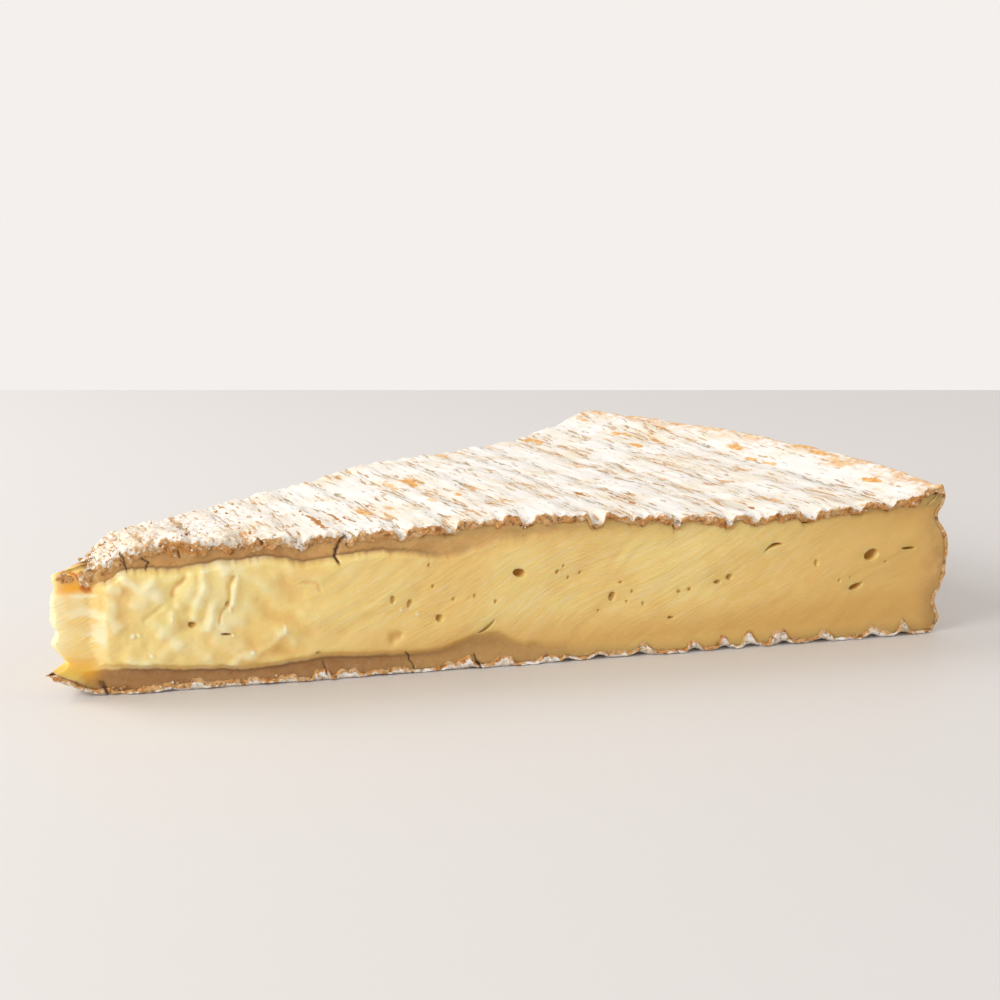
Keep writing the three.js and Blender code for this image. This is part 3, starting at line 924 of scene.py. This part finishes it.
# Stains of the top: across the mat lines, along them, half width, half length, strength
RUST_STAINS = (
    (182, 16, 1.8, 4.5, 0.9), (181, 6, 1.6, 4.0, 1.0), (175, -20, 1.5, 3.2, 1.0),
    (179, -4, 2.6, 6.5, 0.55), (172, 30, 1.3, 3.8, 0.9), (169, 19, 1.0, 3.2, 0.8),
    (170, 11, 1.0, 4.4, 0.7), (184, 28, 1.6, 5.0, 0.8), (188, 41, 2.2, 6.5, 0.5),
    (184, 50, 1.7, 4.5, 0.7), (190, 25, 1.2, 3.0, 0.7), (187, 8, 1.2, 2.6, 0.7), (185, 0, 0.9, 2.0, 0.7),
    (193, 7, 1.0, 2.6, 0.7), (189, -7, 1.1, 2.6, 0.8), (185, -20, 0.9, 2.2, 0.6),
    (135, 70, 1.8, 5.5, 0.9), (167, 90, 2.4, 7.0, 0.7), (156, 82, 1.4, 3.6, 0.6),
    (172, 73, 1.8, 4.5, 0.9), (158, 63, 1.5, 4.2, 0.8), (154, 50, 1.6, 5.0, 0.9),
    (163, 55, 1.0, 4.0, 0.35), (128, 34, 0.8, 3.4, 0.6), (146, 24, 0.8, 2.4, 0.4),
    (127, -26, 1.0, 1.8, 0.8), (136, -14, 0.8, 2.2, 0.5), (79, 23, 1.6, 4.6, 0.95),
    (74, 22, 0.9, 6.0, 0.6), (83, 5, 0.9, 2.6, 0.7), (76, 3.5, 0.8, 2.8, 0.5), (60, 2.5, 1.3, 5.0, 0.9),
    (66, 4.4, 0.8, 2.4, 0.6), (101, 55, 1.4, 5.0, 0.6), (108, 58, 1.2, 3.6, 0.5),
    (91, 51, 1.2, 4.0, 0.45), (120, 66, 1.4, 4.6, 0.45), (74, 44, 1.0, 2.6, 0.4),
)
BROWN_GASHES = (
    (48.6, 1.5, 0.75, 6.8, 1.0), (53.4, 3.0, 0.5, 4.6, 0.9), (55.2, -1.5, 0.45, 4.0, 0.8),
    (110, -2, 0.8, 4.4, 0.85), (117, -6.5, 0.75, 7.0, 0.95), (137, 2, 0.8, 4.4, 0.45),
    (134, 5, 0.5, 4.6, 0.6), (141, -18.5, 0.5, 1.8, 0.6), (140, -23.5, 0.5, 1.6, 0.9),
    (144, -16, 0.4, 1.4, 0.8), (164.5, -20, 0.6, 2.2, 0.6), (175, -28, 0.5, 3.2, 0.55),
    (62.7, 8.4, 0.6, 1.3, 0.9), (67, 10.8, 0.5, 1.8, 0.7), (104, 24, 0.6, 4.4, 0.4),
    (19, 10, 0.5, 1.5, 0.7), (34.6, 22, 0.5, 1.6, 0.6), (19.6, 18.8, 0.5, 1.4, 0.7),
)


def stains(x, y):
    """How much each point is rusty or broken open to the brown crust."""
    over, run = over_lines(x, y)
    over = over + 0.5 * rough(31, x / 1.7, y / 2.4)
    run = run + 1.4 * rough(32, x / 2.2, y / 3.1)
    result = []
    for table in (RUST_STAINS, BROWN_GASHES):
        shown = 0 * x
        frayed = 1 + 0.45 * rough(33, x / 1.1, y / 1.1)
        for at_over, at_run, half_width, half_length, strength in table:
            far = np.hypot((over - at_over) / half_width, (run - at_run) / half_length) * frayed
            shown = np.maximum(shown, strength * fall(0.55, 1.15, far))
        result.append(shown)
    return result


def make_lower_rind():
    piece, u, across, ring, edge, apex = edged_sheet(LOWER_COLUMNS, LOWER_SHEET_ROWS)
    along = mix(LOWER_START, WHEEL_RADIUS - 0.8, crowded(u))
    ragged = 1.2 * (noise(24, across * 2.6) + 0.6) + 0.5 * noise(38, across * 9)
    ragged = ragged * fall(LOWER_START, LOWER_START + 7, along) * smooth(-1, -0.7, across)
    along = along + ragged
    x, y = plan(share_at(along), across)
    x = x - FLAP_REACH * smooth(LOWER_START, -TIP_REACH, along) * fall(-TIP_REACH, 8, along)
    z = underside_at(x, along, across)
    z = z + np.where(z > 0.05, 0.15 * noise(25, x / 1.6, y / 1.6), 0) * smooth(0.05, 0.5, z)
    white = np.where(across < 0, lobes(NEAR, along), lobes(FAR, along))
    white = white * (1 + 0.15 * rough(43, along / 1.2, 3 * across))
    bare = (0.75 + 0.3 * rough(26, along / 2.2, 5 * across)) * mix(1.5, 1, smooth(10, 60, along))
    thickness = np.maximum(np.maximum(bare, 0.35), white + 0.55)
    thickness = thickness * mix(0.25, 1, smooth(LOWER_START, -4, along))
    room = smooth(LOWER_START + 1, 9, along)
    depth = ring_depth(thickness, ring, room)
    places = np.column_stack((x, y, z + depth * edge))
    tuck = 0.55 * fall(0, 2.5, ring)
    loose = crumble(27, along + across * 300, depth) * smooth(0, 2, ring)
    out = (0.3 + 0.25 * ring_swell(ring) - tuck + loose) * mix(0.3, 1, room)
    drawn_in = (HIDDEN_IN + HIDDEN_IN_STEP * (ring - SHOWN_RINGS - 1)) * room
    out = np.where(ring > SHOWN_RINGS, -drawn_in, out)
    swell_edges(places, edge, along, across, out, 0.3 - tuck, np.maximum(places[:, 2], 0.6), 1)
    at_tip, at_rim = edge & (u < AT_EDGE), u > 1 - AT_EDGE
    places[at_tip, 0] -= out[at_tip] * 0.5
    angle = HALF_ANGLE * across[at_rim]
    places[at_rim, :2] -= 0.7 * np.column_stack((np.cos(angle), np.sin(angle)))
    places[apex] = (INSIDE, 0, 9)
    write_places(piece, places)
    hang = np.maximum(white, 0.4 + 0.4 * noise(39, along / 0.9, 3 * across))
    hang = hang + 0.3 * rough(41, along / 0.8, depth / 0.5)
    # The groove mask greys the lower rind where it lifts off the table, as painted shade
    masks(
        piece, edge=np.where(edge, smooth(-0.15, 0.15, depth - hang), 0),
        crack=np.where(across < -0.9, cracked(NEAR, along, places[:, 2]), 0),
        groove=smooth(0.1, 0.6, z), rim=smooth(178, WHEEL_RADIUS, along),
        tip=np.maximum(fall(5, 40, along), 0.7),
    )
    return piece


# Crumbs of crust

def crumb_shape(seed):
    """One rough crumb about a millimetre across."""
    bpy.ops.mesh.primitive_ico_sphere_add(subdivisions=2, radius=0.5)
    crumb = bpy.context.active_object
    ball = read_places(crumb)
    # Flat faces at random cut the ball to a broken chunk
    faces = np.random.default_rng(seed).normal(size=(9, 3))
    faces = faces / np.linalg.norm(faces, axis=1)[:, None]
    reach = np.clip(2 * ball @ faces.T, 0.01, 1)
    cut = np.minimum(1, np.min(np.linspace(0.5, 0.85, 9) / reach, axis=1))
    bump = cut * (1 + 0.25 * noise(seed, ball[:, 0] * 5 + 9, ball[:, 1] * 5, ball[:, 2] * 5))
    crumb.data.vertices.foreach_set("co", (ball * bump[:, None] * (1.1, 0.9, 0.7)).ravel())
    return crumb


# Loose crumbs along the edges and on the top, and the shares of the edges' crumbs on the near cut and
# on the lower edge
EDGE_CRUMBS, TOP_CRUMBS = 360, 170
ON_NEAR_CUT, ON_LOWER_EDGE = 0.62, 0.4
# Two broken flakes of crust that lie on the torn tip: along, height, half width, half height, crumbs
TIP_FLAKES = ((-1.9, 24.3, 1.1, 0.7, 9), (1.3, 23.6, 0.9, 1.2, 16))


def make_crumbs():
    shapes = [crumb_shape(seed) for seed in range(90, 96)]
    spots = []
    for _ in range(EDGE_CRUMBS):
        side = NEAR if rng.random() < ON_NEAR_CUT else FAR
        along = 4 + 178 * rng.random() ** 1.5
        low = rng.random() < ON_LOWER_EDGE
        x, y = plan(share_at(along), float(side))
        size = rng.uniform(0.3, 0.7) * (1.2 if along < 60 else 0.85)
        if low:
            z = float(underside_at(x, along, side)) + rng.uniform(0.5, 1.6)
        else:
            z = float(top_at(x, y, along, side)) - rng.uniform(0.2, 1.9 if along < 95 else 1.1)
        out = float(cut_out(side, np.array([along]), np.array([max(z, 0.6)]))[0])
        out += rng.uniform(0.25, 0.6)
        spots.append((*moved_out(side, x, y, out), z, size))
    for _ in range(TOP_CRUMBS):
        along = 2 + 50 * rng.random() ** 1.6
        across = rng.uniform(-0.95, 0.95)
        x, y = plan(share_at(along), across)
        z = float(top_at(x, y, along, across)) + 0.2
        spots.append((x, y, z, rng.uniform(0.3, 0.8)))
    for middle, height, wide, tall, count in TIP_FLAKES:
        for _ in range(count):
            along = middle + rng.uniform(-wide, wide)
            z = height + rng.uniform(-tall, tall)
            x, y = wall_place(NEAR, -1.0, share_at(along), np.array([z]))
            spots.append((float(x[0]), float(y[0]) - 0.1, z, rng.uniform(1.0, 2.3)))
    crumbs = []
    for count, (x, y, z, size) in enumerate(spots):
        crumb = shapes[count % len(shapes)].copy()
        crumb.data = crumb.data.copy()
        bpy.context.collection.objects.link(crumb)
        turn = np.linalg.qr(rng.normal(size=(3, 3)))[0]
        turn = turn * np.sign(np.linalg.det(turn))
        flat = 0.5 if size > 0.99 else 1.0
        places = read_places(crumb) @ turn.T * size * rng.uniform(0.8, 1.2, 3) * (1, flat, 1) + (x, y, z)
        # No crumb lies below the table
        places[:, 2] += max(0, 0.02 - places[:, 2].min())
        write_places(crumb, places)
        crumbs.append(crumb)
    remove(*shapes)
    return joined(crumbs)


# Materials

def new_material(name):
    material = bpy.data.materials.new(name)
    material.use_nodes = True
    tree = material.node_tree
    return material, tree, tree.nodes["Principled BSDF"]


def add(tree, kind, settings=None, **inputs):
    """Adds a node. Its inputs are given by name, as a value or as another node's output."""
    made = tree.nodes.new(kind)
    for name, value in (settings or {}).items():
        setattr(made, name, value)
    for name, value in inputs.items():
        plug(tree, made.inputs[name.replace("_", " ")], value)
    return made


def plug(tree, socket, value):
    if isinstance(value, bpy.types.NodeSocket):
        tree.links.new(value, socket)
    else:
        socket.default_value = value


def math_node(tree, operation, first, second, clamp=False):
    made = add(tree, "ShaderNodeMath", {"operation": operation, "use_clamp": clamp})
    plug(tree, made.inputs[0], first)
    plug(tree, made.inputs[1], second)
    return made.outputs[0]


def times(tree, first, second):
    return math_node(tree, "MULTIPLY", first, second)


def plus(tree, first, second, clamp=False):
    return math_node(tree, "ADD", first, second, clamp)


def blend(tree, share, first, second):
    """The first colour, with a share of the second one over it."""
    made = add(tree, "ShaderNodeMix", {"data_type": "RGBA"})
    plug(tree, made.inputs[0], share)
    plug(tree, made.inputs[6], first)
    plug(tree, made.inputs[7], second)
    return made.outputs[2]


def step_between(tree, value, low, high):
    """0 where value is below low and 1 where it is above high."""
    made = add(tree, "ShaderNodeMapRange", {"interpolation_type": "SMOOTHSTEP"}, Value=value)
    made.inputs["From Min"].default_value = low
    made.inputs["From Max"].default_value = high
    return made.outputs["Result"]


def pattern(tree, scale, turn=0.0, stretch=(1, 1, 1), detail=3.0, rough_by=0.55):
    """Noise on the object's own coordinates, with so many bumps a metre, turned about Z and stretched."""
    place = add(tree, "ShaderNodeTexCoord").outputs["Object"]
    mapping = add(tree, "ShaderNodeMapping", {"vector_type": "TEXTURE"}, Vector=place)
    mapping.inputs["Rotation"].default_value = (0, 0, turn)
    mapping.inputs["Scale"].default_value = stretch
    made = add(tree, "ShaderNodeTexNoise", Vector=mapping.outputs["Vector"], Scale=scale, Detail=detail)
    made.inputs["Roughness"].default_value = rough_by
    return made.outputs["Fac"]


def attribute(tree, name):
    return add(tree, "ShaderNodeAttribute", {"attribute_name": name})


def read_mask(tree, name, share=1.0):
    """A mask of the piece, times a share."""
    return times(tree, attribute(tree, name).outputs["Fac"], share)


def cover(tree, base, *layers):
    """Lays colours over a base, each where its mask shows it."""
    for name, share, colour in layers:
        base = blend(tree, read_mask(tree, name, share), base, colour)
    return base


def screen(red, green, blue):
    """A colour given as seen on a screen, from 0 to 255."""
    shares = [c / 255 for c in (red, green, blue)]
    return tuple(s / 12.92 if s <= 0.04045 else ((s + 0.055) / 1.055) ** 2.4 for s in shares) + (1,)


WHITE_COAT = screen(246, 241, 235)
IVORY_COAT = screen(236, 226, 206)
# Painted shade: the grey in the mat lines' grooves and where the lower rind lifts, partly also the tone of
# the straw lines
GREY_COAT = screen(204, 197, 182)
STRAW_GREY = screen(158, 138, 100)
TAN_CRUST = screen(216, 170, 112)
ORANGE_CRUST = screen(208, 146, 78)
BROWN_PIT = screen(120, 76, 38)
# The brown of the crust in its cracks, darkened with painted shade
CRACK_BROWN = screen(112, 72, 38)
RUST = screen(222, 150, 70)
PALE_RUST = screen(236, 198, 134)
CRUST_BODY = screen(220, 170, 102)
CRUST_SHADE = screen(188, 138, 76)
CRUST_LOW = screen(148, 102, 54)
# Painted shade along the crease where the crust meets the paste
SEAM_BROWN = screen(134, 92, 44)
PASTE_YELLOW = screen(251, 218, 138)
# Painted light: the paste paler towards the tip and up the cut, where light glows through it
PASTE_PALE = screen(255, 230, 154)
# Cream for the knife's lighter streaks, and the painted highlight on the ridges and the tip's end
PASTE_CREAM = screen(255, 241, 200)
# Painted highlight on the wet beads
WET_SHINE = screen(255, 252, 238)
# A darker tone for the paste's clouds, and the painted shade in its creases
PASTE_SHADE = screen(234, 190, 104)
PASTE_TAN = screen(226, 181, 101)
# Painted shade in the gas holes, ochre and then brown the deeper the wall lies
PASTE_OCHRE = screen(236, 200, 112)
HOLE_DEEP = screen(196, 142, 52)
# Painted glow of light in the paste at the torn tip
GLOW_ORANGE = screen(255, 184, 44)
EMBER_ORANGE = screen(206, 112, 30)
# How far red, green and blue light spread in the cheese, next to each other
SCATTER = (1.0, 0.6, 0.2)


def crust_grain():
    """Grains of broken crust: orange and tan, with dark pits between them and a few white crumbs."""
    group = bpy.data.node_groups.new("crust_grain", "ShaderNodeTree")
    group.interface.new_socket("Colour", in_out="OUTPUT", socket_type="NodeSocketColor")
    group.interface.new_socket("Height", in_out="OUTPUT", socket_type="NodeSocketFloat")
    grains = pattern(group, 900, detail=3.0, rough_by=0.7)
    patches = pattern(group, 230)
    colour = blend(group, step_between(group, patches, 0.42, 0.6), TAN_CRUST, ORANGE_CRUST)
    pits = times(group, step_between(group, grains, 0.47, 0.36), 0.8)
    colour = blend(group, pits, colour, BROWN_PIT)
    crumbs = times(group, step_between(group, grains, 0.57, 0.64), 0.7)
    colour = blend(group, crumbs, colour, IVORY_COAT)
    output = group.nodes.new("NodeGroupOutput")
    plug(group, output.inputs["Colour"], colour)
    plug(group, output.inputs["Height"], grains)
    return group


def grain_node(tree):
    return add(tree, "ShaderNodeGroup", {"node_tree": crust_grain_group})


def streaks(tree, scale, detail):
    """Noise drawn out along the way that the knife went."""
    place = attribute(tree, "drag").outputs["Vector"]
    return add(tree, "ShaderNodeTexNoise", Vector=place, Scale=scale, Detail=detail).outputs["Fac"]


def soften(surface, weight, scale):
    surface.inputs["Subsurface Weight"].default_value = weight
    surface.inputs["Subsurface Radius"].default_value = SCATTER
    surface.inputs["Subsurface Scale"].default_value = scale


def bump_from(tree, surface, height, strength, distance):
    bump = add(tree, "ShaderNodeBump", Height=height, Strength=strength, Distance=distance)
    plug(tree, surface.inputs["Normal"], bump.outputs["Normal"])


def make_paste_material():
    material, tree, surface = new_material("ripe_paste")
    # The knife left fewer streaks on the soft wet paste and on the tan paste by the rind
    plain = plus(tree, read_mask(tree, "wet"), read_mask(tree, "tan"), clamp=True)
    firm = math_node(tree, "SUBTRACT", 1.0, times(tree, plain, 0.65))
    # Painted light: paler towards the tip and up the cut
    base = blend(tree, read_mask(tree, "pale"), PASTE_YELLOW, PASTE_PALE)
    lightened = times(tree, step_between(tree, streaks(tree, 1.0, 3.0), 0.4, 0.72), 0.32)
    base = blend(tree, times(tree, lightened, firm), base, PASTE_CREAM)
    mottle = plus(tree, pattern(tree, 60), times(tree, pattern(tree, 210), 0.5))
    darkened = times(tree, step_between(tree, mottle, 0.66, 0.95), 0.45)
    base = blend(tree, darkened, base, PASTE_SHADE)
    # Painted shade in the creases and painted highlight on the ridges, then the tan paste near the rind
    base = cover(
        tree, base, ("crease", 0.75, PASTE_SHADE), ("ridge", 0.8, PASTE_CREAM), ("tan", 1, PASTE_TAN),
    )
    body = blend(tree, step_between(tree, pattern(tree, 200), 0.35, 0.65), CRUST_SHADE, CRUST_BODY)
    body = cover(tree, body, ("low", 0.7, CRUST_LOW))
    body = blend(tree, 0.16, body, grain_node(tree).outputs["Colour"])
    base = cover(
        # Over the crust: painted shade along its line and in its cracks, the painted glow at the tip, the
        # orange streak, and a painted highlight on the wet beads
        tree, base, ("crust", 1, body), ("seam", 0.7, SEAM_BROWN), ("glow", 1, GLOW_ORANGE),
        ("ember", 1, EMBER_ORANGE), ("crack", 1, CRACK_BROWN), ("bead", 1, WET_SHINE),
    )
    plug(tree, surface.inputs["Base Color"], base)
    wet = times(tree, read_mask(tree, "wet"), step_between(tree, pattern(tree, 260), 0.4, 0.6))
    wet = plus(tree, wet, read_mask(tree, "bead"), clamp=True)
    plug(tree, surface.inputs["Roughness"], plus(tree, times(tree, wet, -0.26), 0.46))
    relief = times(tree, pattern(tree, 800, detail=2.0), 0.4)
    relief = plus(tree, times(tree, streaks(tree, 2.6, 2.0), firm), relief)
    bump_from(tree, surface, relief, 0.6, 0.0004)
    soften(surface, 0.5, 0.004)
    return material


def make_hole_material():
    material, tree, surface = new_material("hole_wall")
    # Painted shade: the wall turns ochre and then brown the deeper it lies below the cut
    deep = read_mask(tree, "deep")
    tone = blend(tree, step_between(tree, deep, 0.05, 0.5), PASTE_YELLOW, PASTE_OCHRE)
    tone = blend(tree, step_between(tree, deep, 0.45, 1.0), tone, HOLE_DEEP)
    plug(tree, surface.inputs["Base Color"], tone)
    surface.inputs["Roughness"].default_value = 0.3
    soften(surface, 0.2, 0.002)
    return material


def make_rind_material():
    material, tree, surface = new_material("bloomy_rind")
    grain = grain_node(tree)
    patches = pattern(tree, 70, detail=4.0, rough_by=0.6)
    fuzz = pattern(tree, 1500, rough_by=0.6)
    lines = pattern(tree, 420, -MAT_LINE_SLANT, (1, 14, 1), 3.0, 0.6)
    dashes = pattern(tree, 1150, -MAT_LINE_SLANT, (1, 8, 1), 3.0, 0.62)
    groove_mask = read_mask(tree, "groove")
    coat = blend(tree, step_between(tree, patches, 0.4, 0.66), WHITE_COAT, IVORY_COAT)
    # Painted shade: grey in the mat lines' grooves and where the lower rind lifts, and along the straw
    # lines
    grey = step_between(tree, plus(tree, groove_mask, times(tree, lines, 1.6)), 0.85, 1.6)
    coat = blend(tree, times(tree, grey, 0.26), coat, GREY_COAT)
    worn = plus(tree, dashes, times(tree, patches, 0.3))
    worn = plus(tree, worn, times(tree, groove_mask, 0.07))
    worn = times(tree, step_between(tree, worn, 0.74, 0.81), 0.9)
    straw = blend(tree, step_between(tree, patches, 0.42, 0.56), STRAW_GREY, grain.outputs["Colour"])
    coat = blend(tree, worn, coat, straw)
    height = grain.outputs["Height"]
    rust_tone = blend(tree, step_between(tree, height, 0.4, 0.6), RUST, PALE_RUST)
    rust = plus(tree, read_mask(tree, "rust"), times(tree, height, 0.5))
    coat = blend(tree, step_between(tree, rust, 0.4, 1.0), coat, rust_tone)
    gash = plus(tree, read_mask(tree, "gash"), times(tree, height, 0.6))
    gash_tone = blend(tree, height, BROWN_PIT, RUST)
    coat = blend(tree, step_between(tree, gash, 0.6, 1.0), coat, gash_tone)
    specks = times(tree, read_mask(tree, "tip"), step_between(tree, height, 0.52, 0.62))
    coat = blend(tree, times(tree, specks, 0.75), coat, TAN_CRUST)
    rim = times(tree, read_mask(tree, "rim"), step_between(tree, pattern(tree, 380), 0.38, 0.56))
    coat = blend(tree, times(tree, rim, 0.85), coat, rust_tone)
    edge = plus(tree, read_mask(tree, "edge"), times(tree, fuzz, 0.5))
    coat = blend(tree, step_between(tree, edge, 0.5, 0.95), coat, grain.outputs["Colour"])
    # Painted shade in the cracks, over the crust's brown
    coat = cover(tree, coat, ("crack", 1, CRACK_BROWN))
    plug(tree, surface.inputs["Base Color"], coat)
    surface.inputs["Roughness"].default_value = 0.88
    relief = plus(tree, lines, times(tree, fuzz, 0.5))
    relief = math_node(tree, "SUBTRACT", relief, times(tree, worn, 0.5))
    bump_from(tree, surface, relief, 0.6, 0.0004)
    soften(surface, 0.1, 0.001)
    return material


def make_crumb_material():
    material, tree, surface = new_material("crust_crumb")
    grain = grain_node(tree)
    pale = step_between(tree, pattern(tree, 330), 0.54, 0.6)
    tone = blend(tree, pale, grain.outputs["Colour"], IVORY_COAT)
    plug(tree, surface.inputs["Base Color"], tone)
    surface.inputs["Roughness"].default_value = 0.8
    bump_from(tree, surface, grain.outputs["Height"], 0.6, 0.0003)
    return material


# The camera, the table and the light

CAMERA_PLACE = (-0.1924, -0.2933, 0.1041)
CAMERA_TILT = math.radians(77.84)
CAMERA_TURN = math.radians(-34.4)
LENS, SENSOR_WIDTH = 57.6, 36
TABLE_EDGE = 0.369
TABLE_GREY = screen(220, 217, 215)
# What lights the wedge from all round, and the wall that the camera sees
DAYLIGHT, DAYLIGHT_STRENGTH = screen(243, 240, 238), 0.74
WALL_WHITE = screen(244, 240, 237)
LAMP_COLOUR = (1.0, 0.98, 0.95)
# The lamps: name, direction from the camera (right, back, up), distance and size in metres, watts
LAMPS = (
    ("key", (-0.956, 0.29, 0.70), 1.0, 0.5, 4.3),
    ("right_fill", (0.9, 0.2, 0.5), 1.2, 0.8, 2.0),
    ("front_fill", (-0.8, -0.6, 0.5), 1.2, 0.6, 6.5),
)


def make_camera():
    data = bpy.data.cameras.new("camera")
    data.lens = LENS
    data.sensor_width = SENSOR_WIDTH
    camera = bpy.data.objects.new("camera", data)
    camera.location = CAMERA_PLACE
    camera.rotation_euler = (CAMERA_TILT, 0, CAMERA_TURN)
    bpy.context.collection.objects.link(camera)
    bpy.context.scene.camera = camera


def make_stage():
    bpy.ops.mesh.primitive_plane_add(size=2 * TABLE_EDGE)
    table = bpy.context.active_object
    table.name = "table_top"
    table.rotation_euler = (0, 0, CAMERA_TURN)
    bpy.ops.object.transform_apply(location=False, rotation=True, scale=False)
    material, _, surface = new_material("pale_table")
    surface.inputs["Base Color"].default_value = TABLE_GREY
    surface.inputs["Roughness"].default_value = 0.55
    table.data.materials.append(material)


def screen_side(right, back, up):
    """A direction given from the camera: to its right, away from it, and up."""
    cosine, sine = math.cos(CAMERA_TURN), math.sin(CAMERA_TURN)
    return Vector((right * cosine - back * sine, right * sine + back * cosine, up))


def soft_light(name, direction, distance, size, power):
    data = bpy.data.lights.new(name, "AREA")
    data.shape = "DISK"
    data.size = size
    data.energy = power
    data.color = LAMP_COLOUR
    light = bpy.data.objects.new(name, data)
    towards = screen_side(*direction).normalized()
    light.location = towards * distance
    light.rotation_euler = (-towards).to_track_quat("-Z", "Y").to_euler()
    bpy.context.collection.objects.link(light)


def make_light():
    world = bpy.data.worlds.new("studio")
    bpy.context.scene.world = world
    world.use_nodes = True
    tree = world.node_tree
    light = tree.nodes["Background"]
    light.inputs["Color"].default_value = DAYLIGHT
    light.inputs["Strength"].default_value = DAYLIGHT_STRENGTH
    wall = add(tree, "ShaderNodeBackground", Color=WALL_WHITE, Strength=1.0)
    seen = add(tree, "ShaderNodeLightPath").outputs["Is Camera Ray"]
    both = tree.nodes.new("ShaderNodeMixShader")
    for socket, output in zip(both.inputs, (seen, light.outputs[0], wall.outputs[0])):
        tree.links.new(output, socket)
    tree.links.new(both.outputs[0], tree.nodes["World Output"].inputs["Surface"])
    for lamp in LAMPS:
        soft_light(*lamp)


# Build

crust_grain_group = crust_grain()
ripe_paste = make_paste_material()
hole_wall = make_hole_material()
bloomy_rind = make_rind_material()
crust_crumb = make_crumb_material()

cut_paste = make_paste()
mark_paste(cut_paste)
finish_piece(cut_paste, "cut_paste")
finish_piece(make_top_rind(), "top_rind", bloomy_rind)
finish_piece(make_lower_rind(), "lower_rind", bloomy_rind)
finish_piece(make_crumbs(), "crust_crumbs", crust_crumb)

make_camera()
make_stage()
make_light()
bpy.context.scene.view_settings.view_transform = "Standard"
